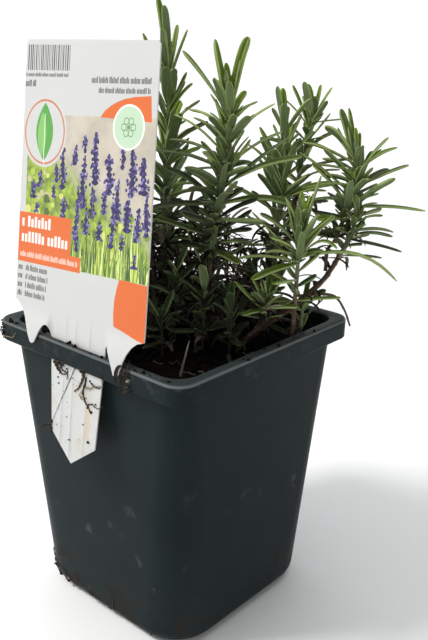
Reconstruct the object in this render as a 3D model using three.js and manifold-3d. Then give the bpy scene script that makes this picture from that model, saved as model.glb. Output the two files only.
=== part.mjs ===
// A young lavender in its square nursery pot, with the plant tag hooked into the rim.
// Millimetres, +Z up. The origin is the middle of the pot's underside, and the tag is on the -Y side.
// Each woody stem, leafy shoot, dry sprig and fallen leaf is a piece of its own.

import * as THREE from "three";
import { mergeVertices } from "three/addons/utils/BufferGeometryUtils.js";
import Module from "manifold-3d";

const wasm = await Module();
wasm.setup();

// ---- driving dimensions: pot ----
const potHeight = 105;
const rimWidth = 90;
const rimCorner = 6.6;
const skirtHeight = 6.9;
const skirtThickness = 0.8;
const flangeThickness = 1.2;
const rimShoulder = 3.0; // from the rim's outside to the wall's outside, at the top
const wallTaper = 4.7; // how far each wall leans in from the rim down to the base
const wallThickness = 0.9;
const topCorner = 8.5;
const baseCorner = 17;
const baseFillet = 5.9;
const footHeight = 1.2;
const footWidth = 6.5;
const floorThickness = 1.2;
const padRadius = 12;
const footNotch = 10;
const drainSlotWidth = 3.6;
const drainSlotLength = 12;
const cornerSteps = 5;

// ---- driving dimensions: tag ----
const tagThickness = 0.45;
const tagTopWidth = 61;
const tagFootWidth = 63;
const tagHeight = 85;
const tagFootAbove = 10; // the tag's lower edge, above the rim
const tagTilt = THREE.MathUtils.degToRad(9);
const tagLean = THREE.MathUtils.degToRad(3.3);
const tagOffset = -4.4; // the tag's middle, along X
const tongueOffset = 2.4; // the tongue's and hooks' middle, from the tag's
const tongueWidth = 26;
const tongueShoulder = 20;
const tongueLength = 40;
const prongGap = 31; // between the two hooks
const prongRoot = 12;
const prongTip = 2.6;
const prongDrop = 4;
const slotWidth = 1.3;

// ---- driving dimensions: soil and plant ----
const soilDepth = 9; // from the rim down to the soil
const soilFall = 2.94; // from the -X -Y corner down to the +X +Y corner
const crownMound = 4;
const crownRadius = 22;
const fit = 0.3; // gap between pieces that touch
const leafThickness = 0.9;
const dryThickness = 0.7;
const thinnestLeaf = 0.5; // the least radius that a leaf takes up when its room is tested
const leafClearance = 0.5;
const rimClearance = 0.6;
const tagClearance = 1.5;
const tagPassing = 4.9; // how far past the tag's edge a leaf may cross its plane
const wateringCorner = { x: -30, y: 30, half: 8, above: 10 };
const shootThickness = 1.7;
const shootTaper = 0.55; // a shoot's thickness at its tip, as a share of its foot's

const wallTop = rimWidth / 2 - rimShoulder;

// ---- solids: merged meshes go in, booleans join and cut them ----

function solidOf(geometry) {
  const bare = geometry.clone();
  bare.deleteAttribute("normal");
  bare.deleteAttribute("uv");
  const merged = mergeVertices(bare, 1e-4);
  return new wasm.Manifold(
    new wasm.Mesh({
      numProp: 3,
      vertProperties: merged.attributes.position.array,
      triVerts: new Uint32Array(merged.index.array),
    }),
  );
}

function geometryOf(solid) {
  const mesh = solid.getMesh();
  const geometry = new THREE.BufferGeometry();
  geometry.setAttribute("position", new THREE.BufferAttribute(mesh.vertProperties, 3));
  geometry.setIndex(new THREE.BufferAttribute(mesh.triVerts, 1));
  const flat = geometry.toNonIndexed();
  flat.computeVertexNormals();
  return flat;
}

// Rings of points, counter-clockwise as seen from the last ring; a ring of one point is a tip.
function loft(rings) {
  const index = [];
  let start = 0;
  for (let k = 0; k + 1 < rings.length; k++) {
    const here = rings[k].length;
    const next = rings[k + 1].length;
    const after = start + here;
    for (let i = 0; i < Math.max(here, next); i++) {
      const j = (i + 1) % Math.max(here, next);
      if (here > 1) index.push(start + i, start + j, after + (next > 1 ? j : 0));
      if (next > 1) index.push(after + j, after + i, start + (here > 1 ? i : 0));
    }
    start = after;
  }
  const firstCount = rings[0].length;
  const lastCount = rings[rings.length - 1].length;
  for (let i = 1; i + 1 < firstCount; i++) index.push(0, i + 1, i);
  for (let i = 1; i + 1 < lastCount; i++) index.push(start, start + i, start + i + 1);
  const geometry = new THREE.BufferGeometry().setFromPoints(rings.flat());
  geometry.setIndex(index);
  return geometry;
}

function block(low, high) {
  const size = new THREE.Vector3().subVectors(high, low);
  const middle = new THREE.Vector3().addVectors(low, high).multiplyScalar(0.5);
  const box = new THREE.BoxGeometry(size.x, size.y, size.z);
  return solidOf(box.translate(middle.x, middle.y, middle.z));
}

// The same jitter everywhere: a number from 0 to 1 for a pair of counters.
function chance(i, k) {
  const wave = Math.sin(i * 12.9898 + k * 78.233) * 43758.5453;
  return wave - Math.floor(wave);
}

// ---- pot ----

function squareRing(half, corner, z) {
  const ring = [];
  for (let k = 0; k < 4; k++) {
    const side = (k * Math.PI) / 2;
    for (let i = 0; i <= cornerSteps; i++) {
      const angle = side + (i / cornerSteps) * (Math.PI / 2);
      const cx = (half - corner) * Math.sign(Math.cos(side + Math.PI / 4));
      const cy = (half - corner) * Math.sign(Math.sin(side + Math.PI / 4));
      ring.push(new THREE.Vector3(cx + corner * Math.cos(angle), cy + corner * Math.sin(angle), z));
    }
  }
  return ring;
}

// The wall's outside at a height, moved in by inset, with the fillet starting at the height of floor.
function wallHalf(z) {
  return wallTop - wallTaper * (1 - z / potHeight);
}

function wallRing(z, inset = 0, floor = 0) {
  const fillet = baseFillet - inset;
  const below = Math.max(0, fillet - (z - floor));
  const pulledIn = fillet - Math.sqrt(fillet * fillet - below * below) + inset;
  const corner = THREE.MathUtils.lerp(baseCorner, topCorner, z / potHeight);
  return squareRing(wallHalf(z) - pulledIn, corner - pulledIn, z);
}

function wallLoft(inset, floor, top) {
  const fillet = baseFillet - inset;
  const steps = [0, 0.12, 0.45, 1].map((share) => floor + share * fillet);
  return solidOf(loft([...steps, top].map((z) => wallRing(z, inset, floor))));
}

const skirtBottom = potHeight - skirtHeight;
const flangeUnder = potHeight - flangeThickness;
const insideFloor = footHeight + floorThickness;

// The tag's plane: across along X, along up the tag from the rim, and the Y of its middle.
const slotY = -(rimWidth / 2 - skirtThickness - fit - tagThickness / 2 - Math.tan(tagTilt) * skirtHeight);
const tagY = (z) => slotY + Math.tan(tagTilt) * (z - potHeight);

function labelSlot(side) {
  const reach = tongueWidth / 2 + 0.8;
  const x = side < 0 ? tagOffset + tongueOffset : 0;
  const y = side * Math.abs(slotY);
  return block(
    new THREE.Vector3(x - reach, y - slotWidth / 2, flangeUnder - 1),
    new THREE.Vector3(x + reach, y + slotWidth / 2, potHeight + 1),
  );
}

function drainSlots() {
  const middle = wallHalf(0) - baseFillet - footWidth - drainSlotWidth / 2 - 1;
  const slots = [];
  for (let k = 0; k < 4; k++) {
    for (const side of [-1, 1]) {
      const box = new THREE.BoxGeometry(drainSlotWidth, drainSlotLength, 8);
      box.translate(middle, side * (drainSlotLength / 2 + 3), footHeight + floorThickness / 2);
      box.rotateZ((k * Math.PI) / 2);
      slots.push(solidOf(box));
    }
  }
  return slots;
}

// The recess inside the foot ring, less a round pad in the middle, and a notch through each side.
function footCuts() {
  const inner = wallHalf(0) - baseFillet - footWidth + 3;
  const corner = baseCorner - footWidth;
  const recess = solidOf(loft([squareRing(inner, corner, -1), squareRing(inner, corner, footHeight)]));
  const pad = solidOf(
    new THREE.CylinderGeometry(padRadius, padRadius, footHeight + 2, 20)
      .rotateX(Math.PI / 2)
      .translate(0, 0, footHeight / 2),
  );
  const cuts = [recess.subtract(pad)];
  const notchLength = wallHalf(0) - inner + 10;
  for (let k = 0; k < 4; k++) {
    const notch = new THREE.BoxGeometry(notchLength, footNotch, footHeight + 1);
    notch.translate(inner - 2 + notchLength / 2, 0, (footHeight - 1) / 2).rotateZ((k * Math.PI) / 2);
    cuts.push(solidOf(notch));
  }
  return cuts;
}

function makePot() {
  const half = rimWidth / 2;
  const rim = solidOf(
    loft([
      squareRing(half - 0.1, rimCorner, skirtBottom),
      squareRing(half, rimCorner, potHeight - 0.7),
      squareRing(half - 0.6, rimCorner - 0.6, potHeight),
    ]),
  );
  const channelHalf = half - skirtThickness;
  const channel = solidOf(
    loft([
      squareRing(channelHalf, rimCorner - skirtThickness, skirtBottom - 1),
      squareRing(channelHalf, rimCorner - skirtThickness, flangeUnder),
    ]),
  );
  let pot = rim.subtract(channel).add(wallLoft(0, 0, potHeight));
  pot = pot.subtract(wallLoft(wallThickness, insideFloor, potHeight + 1));
  const cuts = [...footCuts(), ...drainSlots(), labelSlot(-1), labelSlot(1)];
  for (const cut of cuts) pot = pot.subtract(cut);
  return pot;
}

// ---- soil ----

function soilTop(x, y) {
  const away = Math.hypot(x - 4, y - 4) / crownRadius;
  const mound = crownMound * Math.exp(-away * away);
  const slope = (-soilFall / 2) * ((x + y) / wallTop);
  const crumbs = 0.9 * Math.sin(x * 0.55 + 1) * Math.cos(y * 0.5) + 0.5 * Math.sin(x * 1.3 + y * 0.9);
  return potHeight - soilDepth + mound + slope + crumbs;
}

function makeSoil(sockets) {
  const inset = wallThickness + fit;
  const bottom = insideFloor + fit;
  const fillet = baseFillet - inset;
  const rings = [0, 0.3, 1].map((share) => wallRing(bottom + share * fillet, inset, bottom));
  const edge = wallRing(potHeight - soilDepth, inset).map((p, i) => {
    const z = soilTop(p.x, p.y);
    return wallRing(z, inset)[i];
  });
  rings.push(edge);
  for (const share of [0.8, 0.55, 0.28]) {
    rings.push(
      edge.map((p) => new THREE.Vector3(p.x * share, p.y * share, soilTop(p.x * share, p.y * share))),
    );
  }
  rings.push([new THREE.Vector3(0, 0, soilTop(0, 0))]);
  let soil = solidOf(loft(rings));
  for (const socket of sockets) soil = soil.subtract(socket);
  return soil;
}

// ---- tag ----

// A strip of the tag's sheet that follows the bend given by yOf(v), v being the height up the tag.
function bentSheet(heights, yOf) {
  const rings = heights.map((v) => {
    const z = potHeight + v * Math.cos(tagTilt);
    const near = yOf(v) - tagThickness / 2;
    const far = yOf(v) + tagThickness / 2;
    return [
      new THREE.Vector3(-rimWidth, near, z),
      new THREE.Vector3(rimWidth, near, z),
      new THREE.Vector3(rimWidth, far, z),
      new THREE.Vector3(-rimWidth, far, z),
    ];
  });
  return solidOf(loft(rings));
}

// An outline in the tag's plane, moved along X by shift, as a block that runs right through the sheet.
function outlineBlock(points, shift = 0) {
  const shape = new THREE.Shape(points.map(([u, v]) => new THREE.Vector2(u + shift, v)));
  const slab = new THREE.ExtrudeGeometry(shape, { depth: 60, bevelEnabled: false });
  slab.rotateX(Math.PI / 2);
  slab.rotateY(-tagLean);
  slab.scale(1, 1, Math.cos(tagTilt));
  slab.translate(tagOffset, slotY + 30, potHeight);
  return solidOf(slab);
}

function arc(cx, cy, radius, from, to, steps = 5) {
  const points = [];
  for (let i = 0; i <= steps; i++) {
    const angle = THREE.MathUtils.degToRad(THREE.MathUtils.lerp(from, to, i / steps));
    points.push([cx + radius * Math.cos(angle), cy + radius * Math.sin(angle)]);
  }
  return points;
}

function makeTag() {
  const foot = tagFootWidth / 2;
  const top = tagTopWidth / 2;
  const head = tagFootAbove + tagHeight;
  const inner = prongGap / 2;
  const outer = inner + prongRoot;
  const flat = (v) => slotY + Math.sin(tagTilt) * v;
  const panel = outlineBlock([
    [-foot, tagFootAbove + 1],
    [-outer - 1, tagFootAbove - 2.5],
    [outer + 4, tagFootAbove - 2.5],
    [foot, tagFootAbove],
    ...arc(top - 1, head - 1, 1, 0, 90, 2),
    ...arc(-top + 1, head - 1, 1, 90, 180, 2),
  ]);
  const half = tongueWidth / 2;
  const tonguePoints = [
    [half - 1.3, -tongueLength + 9],
    [half, 0],
    [half + 0.5, tagFootAbove],
    [-half - 0.5, tagFootAbove],
    [-half, 0],
    [-half + 1.3, -tongueLength + 9],
    [-tongueShoulder / 2, -tongueLength + 7],
    [0, -tongueLength],
    [tongueShoulder / 2, -tongueLength + 7],
  ];
  const tongue = outlineBlock(tonguePoints, tongueOffset);
  let tag = bentSheet([-tongueLength - 5, 0, head + 5], flat).intersect(panel.add(tongue));
  const hookY = -(rimWidth / 2 + fit + tagThickness / 2);
  const hooked = (v) => {
    const ease = THREE.MathUtils.smoothstep(v, -0.5, 9);
    return THREE.MathUtils.lerp(hookY - 0.2 * Math.max(0, -v), flat(v), ease);
  };
  const hookSheet = bentSheet([-8, -0.5, 1, 2.5, 4, 5.5, 7, 9, 12], hooked);
  const tip = inner + 3.2;
  for (const side of [-1, 1]) {
    const points = [
      [side * outer, tagFootAbove],
      [side * (inner + 0.2), tagFootAbove],
      ...arc(side * (inner + 0.2), 3.2, 1.4, 90, side > 0 ? 20 : 160, 3),
      [side * tip, -prongDrop],
      [side * (tip + prongTip), -prongDrop],
      [side * (tip + prongTip + 1), 1.5],
      [side * (tip + prongTip + 2.6), 4.5],
      [side * outer, 7.5],
    ];
    const outline = side > 0 ? points : points.reverse();
    tag = tag.add(hookSheet.intersect(outlineBlock(outline, tongueOffset)));
  }
  return tag;
}

// ---- stems ----

// A point in the plant: x and y from the pot's middle, and the height above the rim.
const place = ([x, y, above]) => new THREE.Vector3(x, y, potHeight + above);
const curveOf = (points) => new THREE.CatmullRomCurve3(points.map(place), false, "catmullrom", 0.5);

// A tapered stem along a curve; extend carries its lower end on by that much.
function tube(curve, thick, thin, steps, sides, extend = 0) {
  const frames = curve.computeFrenetFrames(steps, false);
  const rings = [];
  for (let k = 0; k <= steps; k++) {
    const at = curve.getPointAt(k / steps);
    if (k === 0) at.addScaledVector(frames.tangents[0], -extend);
    const radius = THREE.MathUtils.lerp(thick, thin, k / steps) / 2;
    const ring = [];
    for (let i = 0; i < sides; i++) {
      const angle = (i / sides) * 2 * Math.PI;
      const out = new THREE.Vector3()
        .addScaledVector(frames.normals[k], Math.cos(angle) * radius)
        .addScaledVector(frames.binormals[k], Math.sin(angle) * radius);
      ring.push(at.clone().add(out));
    }
    rings.push(ring);
  }
  return solidOf(loft(rings));
}

// Places already taken: points with a radius and the name of the piece that holds them.
const taken = [];

function claim(owner, curve, thick, thin, steps = 24) {
  for (let k = 0; k <= steps; k++) {
    const radius = THREE.MathUtils.lerp(thick, thin, k / steps) / 2;
    taken.push({ at: curve.getPointAt(k / steps), radius, owner });
  }
}

// Woody stems: the route, and the thickness at each end. A rooted stem stands in a socket in the soil.
const woodyStems = {
  main_stem: {
    route: [[10, 2, -15], [12, 2, 4], [13, 2, 14], [14, 2, 23]],
    thick: 2.6,
    thin: 2.1,
    rooted: true,
  },
  left_stem: {
    route: [[0, 1, -15], [-5, 2, 3], [-8, 3, 12], [-9, 3, 20]],
    thick: 2.3,
    thin: 1.8,
    rooted: true,
  },
  right_stem: {
    route: [[15, 9, -16], [26, 16, -2], [36, 22, 8], [40, 31, 15], [41, 35, 19], [42, 37, 22.5]],
    thick: 2.5,
    thin: 1.6,
    rooted: true,
  },
  back_stem: {
    route: [[9, 13, -16], [12, 23, 2], [16, 31, 14], [17, 32, 21]],
    thick: 2.4,
    thin: 1.8,
    rooted: true,
  },
  rear_stem: {
    route: [[5, 18, -16], [9, 32, 4], [14, 43, 22], [16, 46, 34]],
    thick: 2.2,
    thin: 1.5,
    rooted: true,
  },
  low_branch: {
    route: [[21, 5, -16], [25, 7, -5], [30, 9, 1], [32.5, 9, 4.5]],
    thick: 1.7,
    thin: 1.4,
    rooted: true,
  },
  outer_stem: {
    route: [[35, 19, -16], [37, 19, -6], [38.6, 17.5, 3], [39, 17, 9]],
    thick: 1.7,
    thin: 1.6,
    rooted: true,
  },
  far_left_stem: {
    route: [[-7, -3, -15], [-14, -7, 0], [-18, -8, 12]],
    thick: 2.0,
    thin: 1.6,
    rooted: true,
  },
  far_back_stem: {
    route: [[-7, 12, -15], [-15, 15, 0], [-20, 18, 12]],
    thick: 2.0,
    thin: 1.6,
    rooted: true,
  },
};

// A shoot that carries on from a woody stem starts one fit beyond the stem's end.
function endOf(stem) {
  const curve = curveOf(stem.route);
  const end = curve.getPoint(1).addScaledVector(curve.getTangent(1), fit);
  return [end.x, end.y, end.z - potHeight];
}

// A side piece starts one fit off a stem's bark, at a share of its length, on the side of the heading.
function besideStem(stem, share, headingDegrees, thick) {
  const heading = THREE.MathUtils.degToRad(headingDegrees);
  const reach = THREE.MathUtils.lerp(stem.thick, stem.thin, share) / 2 + thick / 2 + fit;
  const at = curveOf(stem.route).getPointAt(share);
  return [at.x + reach * Math.cos(heading), at.y + reach * Math.sin(heading), at.z - potHeight];
}

const rightStem = woodyStems.right_stem;
woodyStems.right_fork = {
  route: [besideStem(rightStem, 0.9, 170, 1.3), [38.4, 35.6, 25], [40, 37, 27.5]],
  thick: 1.3,
  thin: 1.2,
};
woodyStems.dead_twig = {
  route: [besideStem(rightStem, 0.72, 350, 1), [43, 34.6, 9.6], [45, 38.6, 4.2], [46.8, 40.4, -2]],
  thick: 1,
  thin: 0.7,
};

const stemSides = 6;

function makeStem(stem) {
  return tube(curveOf(stem.route), stem.thick, stem.thin, stem.route.length * 2, stemSides);
}

// The hole that a rooted stem stands in: the stem again, wider and longer by the fit.
function makeSocket(stem) {
  const wider = 2 * fit;
  const curve = curveOf(stem.route);
  return tube(curve, stem.thick + wider, stem.thin + wider, stem.route.length * 2, stemSides, fit);
}

// ---- leaves ----

const leafStations = [0, 0.4, 0.86];
const dryStations = [0, 0.6];

// Half the width along a leaf: a narrow foot, near parallel sides and a blunt tip.
function halfWidth(width, t) {
  const foot = Math.min(1, 0.45 + 1.5 * t);
  const tip = t > 0.8 ? Math.sqrt(Math.max(0, 1 - ((t - 0.8) / 0.2) ** 2)) : 1;
  return (width / 2) * foot * tip;
}

function leafPoint(leaf, t) {
  const reach = leaf.length * t;
  const out = reach * Math.cos(leaf.rise);
  return new THREE.Vector3(
    leaf.foot.x + out * Math.cos(leaf.heading),
    leaf.foot.y + out * Math.sin(leaf.heading),
    leaf.foot.z + reach * Math.sin(leaf.rise) - leaf.droop * reach * t,
  );
}

function makeLeaf(leaf) {
  const across = new THREE.Vector3(-Math.sin(leaf.heading), Math.cos(leaf.heading), 0);
  const stations = leaf.dry ? dryStations : leafStations;
  const rings = stations.map((t) => {
    const at = leafPoint(leaf, t);
    const along = leafPoint(leaf, t + 0.01).sub(leafPoint(leaf, t)).normalize();
    const above = new THREE.Vector3().crossVectors(along, across);
    const half = halfWidth(leaf.width, t);
    const edge = at.clone().addScaledVector(above, -leaf.thickness / 2);
    return [
      edge.clone().addScaledVector(across, half),
      at.clone().addScaledVector(above, leaf.thickness / 2),
      edge.clone().addScaledVector(across, -half),
    ];
  });
  rings.push([leafPoint(leaf, 1)]);
  return solidOf(loft(rings));
}

// A leaf is tested at places along it, from the second on, because its foot is on its own stem.
function samplesOf(leaf) {
  const places = 14;
  const samples = [];
  for (let k = 2; k <= places; k++) {
    const t = k / places;
    samples.push({ at: leafPoint(leaf, t), radius: Math.max(thinnestLeaf, halfWidth(leaf.width, t)) });
  }
  return samples;
}

// Whether a leaf keeps clear of the tag, the pot, the soil, the watering corner and every other piece.
function hasRoom(leaf, owner) {
  for (const { at, radius } of samplesOf(leaf)) {
    const pastTag = at.x > tagOffset + tagFootWidth / 2 + tagPassing;
    if (at.y < tagY(at.z) + radius + tagClearance && !pastTag) return false;
    const spread = Math.max(Math.abs(at.x), Math.abs(at.y));
    const insideWall = spread < wallTop - wallThickness - radius - rimClearance;
    if (at.z < potHeight + radius + rimClearance && !insideWall) return false;
    if (insideWall && at.z < soilTop(at.x, at.y) + radius + leafClearance) return false;
    const keepOff = wateringCorner.half + radius + leafClearance;
    const fromWater = Math.max(Math.abs(at.x - wateringCorner.x), Math.abs(at.y - wateringCorner.y));
    if (fromWater < keepOff && at.z < potHeight + wateringCorner.above) return false;
    for (const other of taken) {
      if (other.owner === owner) continue;
      if (at.distanceTo(other.at) < radius + other.radius + leafClearance) return false;
    }
  }
  return true;
}

// A leaf that meets a neighbour turns aside or stays shorter, and one with no room doesn't grow.
function grow(leaf, owner, turns) {
  for (const shorter of [1, 0.8]) {
    for (const turn of turns) {
      const heading = leaf.heading + THREE.MathUtils.degToRad(turn);
      const tried = { ...leaf, heading, length: leaf.length * shorter };
      if (!hasRoom(tried, owner)) continue;
      taken.push(...samplesOf(tried).map((sample) => ({ ...sample, owner })));
      return tried;
    }
  }
  return null;
}

// Leafy shoots. route: the stem. pairs: opposite leaves set crosswise up the stem between from and to.
// length and width are a leaf's, low and high the rise of the lowest and highest pair in degrees.
// reach lists the leaves that stand out: place on the stem, heading, rise, length and, if broad, width.
const shoots = {
  tall_front_shoot: {
    route: [endOf(woodyStems.main_stem), [14, 2, 32], [16, 4, 44], [18, 5, 56], [18, 6, 72]],
    reach: [
      [1, 100, 75, 27, 3.4], [1, 195, 75, 25, 3.6], [0.98, 222, 57, 28, 3.2], [0.96, 270, 62, 18, 4],
      [0.96, 100, 47, 13, 2.4], [0.94, 90, 30, 15, 2.4], [0.84, 62, 50, 14, 2.6], [0.86, 0, 50, 12, 3],
      [0.9, 185, 26, 18, 2.6], [0.87, 202, 32, 14, 2.4], [0.83, 270, 40, 15, 3], [0.87, 255, 50, 12, 2.6],
      [0.72, 42, 36, 22, 2.6], [0.76, 214, 26, 21, 2.8], [0.7, 230, 20, 25, 3], [0.72, 85, 5, 14, 3],
      [0.65, 345, 28, 14, 3.6], [0.6, 38, 25, 28, 2.8], [0.58, 270, 31, 19, 3.6], [0.52, 262, 23, 16, 3.2],
      [0.47, 222, 4, 23, 3.4], [0.46, 37, 13, 25, 3.2], [0.37, 5, 9, 20, 4.4], [0.35, 270, 21, 17, 4.6],
      [0.2, 308, 40, 12, 4], [0.12, 248, 15, 11, 2.8], [0.12, 3, -4, 13, 2.8], [0.2, 20, 27, 17, 3.4],
      [0.17, 64, 4, 16, 2.2], [0.13, 285, 8, 9, 2.4], [0.5, 130, 25, 20, 3], [0.62, 150, 30, 20, 3],
      [0.3, 170, 12, 18, 3], [0.26, 115, 10, 18, 3],
    ],
    droop: 0.08,
  },
  tall_back_shoot: {
    route: [endOf(woodyStems.left_stem), [-8, 3, 40], [-8, 4, 57], [-8, 4, 84]],
    reach: [
      [1, 165, 80, 24, 2.8], [1, 320, 81, 24, 2.6], [0.98, 285, 74, 16, 2.8], [0.97, 98, 68, 20, 2.2],
      [0.9, 181, 64, 23, 2], [0.87, 305, 66, 14, 3.6], [0.87, 350, 72, 13, 3], [0.83, 80, 60, 17, 1.8],
      [0.82, 57, 55, 15, 1.8], [0.77, 53, 42, 15, 2.4], [0.68, 42, 36, 17, 2.4], [0.62, 338, 66, 20, 4],
      [0.58, 68, 28, 14, 2.4], [0.62, 240, 62, 15, 2.6], [0.5, 240, 50, 13, 2.6], [0.36, 8, 24, 13, 2.8],
      [0.4, 72, 16, 11, 2.4], [0.42, 250, 50, 12, 2.6],
    ],
    pairs: 6,
    from: 0.08,
    to: 0.9,
    turn: 20,
    low: 20,
    high: 62,
    length: 14,
    width: 2.4,
    droop: 0.06,
  },
  bright_tuft: {
    route: [endOf(woodyStems.back_stem), [19, 33, 35], [19, 34, 45], [19, 34, 64]],
    reach: [
      [1, 222, 78, 15, 3.4], [1, 150, 77, 15, 3.2], [0.75, 200, 61, 18, 2.6], [0.68, 242, 63, 20, 2.8],
      [0.75, 295, 73, 14, 3], [0.62, 272, 60, 16, 2.8], [0.6, 241, 54, 16, 2.6], [0.68, 72, 67, 15, 2.8],
      [0.65, 343, 75, 18, 3], [0.45, 254, 53, 16, 2.8], [0.45, 190, 60, 15, 2.6], [0.5, 280, 50, 14, 2.8],
      [0.54, 40, 30, 12, 2.8], [0.54, 10, 44, 13, 3], [0.9, 300, 74, 16, 3], [0.85, 30, 70, 16, 3],
      [0.8, 110, 62, 16, 2.8], [0.35, 120, 45, 15, 2.8], [0.3, 220, 45, 14, 2.8], [0.25, 300, 40, 13, 2.8],
    ],
    droop: 0.02,
  },
  rear_shoot: {
    route: [endOf(woodyStems.rear_stem), [17, 47, 50], [18, 49, 59], [19, 50, 66]],
    reach: [
      [1, 260, 71, 15, 3.8], [1, 158, 76, 14, 4], [0.82, 197, 67, 18, 2], [1, 90, 67, 14, 1.8],
      [0.97, 23, 65, 15, 2.8], [0.93, 356, 55, 12, 2.2], [0.92, 177, 52, 12, 1.6], [0.92, 148, 52, 14, 2],
      [0.67, 5, -12, 10, 2.4], [0.97, 27, 10, 12, 1.6], [0.5, 60, 35, 14, 2.4], [0.45, 200, 30, 12, 2.4],
      [0.35, 110, 30, 14, 2.6], [0.7, 110, 40, 15, 2.4], [0.2, 160, 20, 13, 2.6], [0.25, 330, 30, 12, 2.4],
    ],
    droop: 0.04,
  },
  right_shoot: {
    route: [endOf(woodyStems.right_fork), [42, 39, 36], [43, 41, 42], [44, 43, 48], [44, 42, 54]],
    reach: [
      [1, 212, 54, 20, 4], [1, 181, 67, 22, 3], [1, 150, 68, 22, 2], [0.81, 302, 70, 15, 3.2],
      [0.75, 87, 59, 14, 2], [0.69, 57, 31, 14, 3.4], [0.35, 26, 44, 21, 4], [0.7, 42, 32, 20, 2.4],
      [0.95, 80, 24, 20, 2.2], [0.41, 38, 4, 26, 2.4], [1, 222, 31, 22, 2.4], [0.9, 200, 24, 14, 3],
      [0.9, 230, 18, 15, 2], [0.72, 222, 21, 13, 2.8], [0.69, 229, 7, 19, 2.8], [0.5, 214, 4, 15, 3],
      [0.25, 264, 15, 15, 3.4], [0.06, 235, 22, 11, 2], [0.06, 183, 34, 9, 2], [0.35, 280, 42, 13, 3.2],
      [0.45, 120, 25, 16, 2.8], [0.2, 110, 12, 15, 2.8], [0.6, 330, 40, 13, 2.8], [0.3, 150, 30, 15, 2.6],
    ],
    droop: 0.1,
  },
  right_side_shoot: {
    route: [endOf(woodyStems.right_stem), [46, 37, 30], [47.5, 39, 38]],
    reach: [
      [0.5, 36, -6, 18, 3], [0.68, 42, 8, 14, 2.6], [0.6, 21, 8, 14, 2.6], [0.85, 60, 20, 10, 2],
      [0.98, 19, 28, 9, 2.6], [0.23, 278, 52, 7, 2.4], [1, 222, 73, 8, 2], [1, 108, 40, 8, 2],
    ],
    droop: 0.08,
  },
  outer_shoot: {
    route: [endOf(woodyStems.outer_stem), [39.4, 17, 18], [39.6, 17, 26], [40, 17, 33], [40.4, 17, 39]],
    reach: [
      [0.55, 198, 77, 22, 2.4], [0.72, 286, 71, 14, 2], [0.9, 137, 70, 9, 2], [0.66, 42, 79, 19, 2.6],
      [0.62, 240, 48, 20, 2.8], [0.55, 267, 34, 17, 2.4], [0.5, 250, 23, 14, 2.4], [0.46, 228, 16, 21, 2.8],
      [0.44, 247, -4, 18, 3], [0.5, 42, 14, 34, 3.2], [0.54, 76, 44, 13, 2.2], [0.5, 83, 8, 12, 4],
      [0.6, 352, 65, 16, 4], [0.95, 60, 78, 10, 2], [0.95, 260, 78, 10, 2], [0.58, 130, 30, 15, 2.8],
    ],
    droop: 0.1,
  },
  low_rosette: {
    route: [endOf(woodyStems.low_branch), [33, 9, 9], [33.6, 9, 13]],
    reach: [
      [0.85, 222, 80, 8, 2.8], [0.62, 260, 49, 10, 3.2], [0.7, 90, 57, 10, 2.6], [0.5, 32, 13, 11, 3],
      [0.4, 255, 4, 9, 2.2], [0.6, 350, 43, 10, 2.4], [0.5, 160, 25, 10, 2.6], [0.95, 120, 60, 8, 2.4],
    ],
    droop: 0.08,
  },
  rim_rosette: {
    route: [[36.6, 24.2, -5.5], [37, 24.6, 3], [37.2, 24.4, 8]],
    reach: [
      [0.8, 61, 33, 12, 2.6], [0.95, 222, 66, 8, 2.6], [0.7, 210, 25, 11, 3.6], [0.95, 112, 45, 8, 2.4],
      [0.6, 240, 12, 9, 3.6], [0.9, 20, 50, 9, 2.4],
    ],
    rooted: true,
    droop: 0.12,
  },
  far_left_shoot: {
    route: [endOf(woodyStems.far_left_stem), [-20, -9, 24], [-21, -9, 40], [-20, -9, 52]],
    pairs: 7,
    turn: 35,
    low: 12,
    high: 72,
    length: 19,
    width: 3,
    droop: 0.08,
  },
  far_back_shoot: {
    route: [endOf(woodyStems.far_back_stem), [-23, 20, 24], [-25, 21, 40], [-25, 22, 56]],
    pairs: 7,
    turn: 70,
    low: 12,
    high: 74,
    length: 20,
    width: 3,
    droop: 0.08,
  },
};

// Short side shoots and dried sprigs low in the plant, each rooted by its own thin stem.
const sprigs = [
  { name: "dry_sprig_1", foot: [-3, -8], tip: [-4, -9], top: 34, dry: true },
  { name: "dry_sprig_2", foot: [-2, 9], tip: [-1, 8], top: 36, dry: true },
  { name: "dry_sprig_3", foot: [4, 6], tip: [4, 7], top: 30, dry: true },
  { name: "dry_sprig_4", foot: [17, 14], tip: [19, 14], top: 20, dry: true },
  { name: "dry_sprig_5", foot: [-13, 3], tip: [-15, 2], top: 26, dry: true },
  { name: "dry_sprig_6", foot: [2, 24], tip: [1, 27], top: 30, dry: true },
  { name: "green_sprig_1", foot: [6, -7], tip: [7, -7], top: 20 },
  { name: "green_sprig_2", foot: [-1, -14], tip: [-2, -14], top: 12 },
  { name: "green_sprig_3", foot: [17, -5], tip: [18, -5], top: 15 },
  { name: "green_sprig_4", foot: [10, -17], tip: [10, -18], top: 6 },
  { name: "green_sprig_5", foot: [25, 0], tip: [26, -1], top: 8 },
  { name: "green_sprig_6", foot: [23, 22], tip: [25, 23], top: 14 },
  { name: "green_sprig_7", foot: [-6, 24], tip: [-8, 27], top: 34 },
  { name: "green_sprig_8", foot: [-18, -16], tip: [-21, -18], top: 16 },
];

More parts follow.
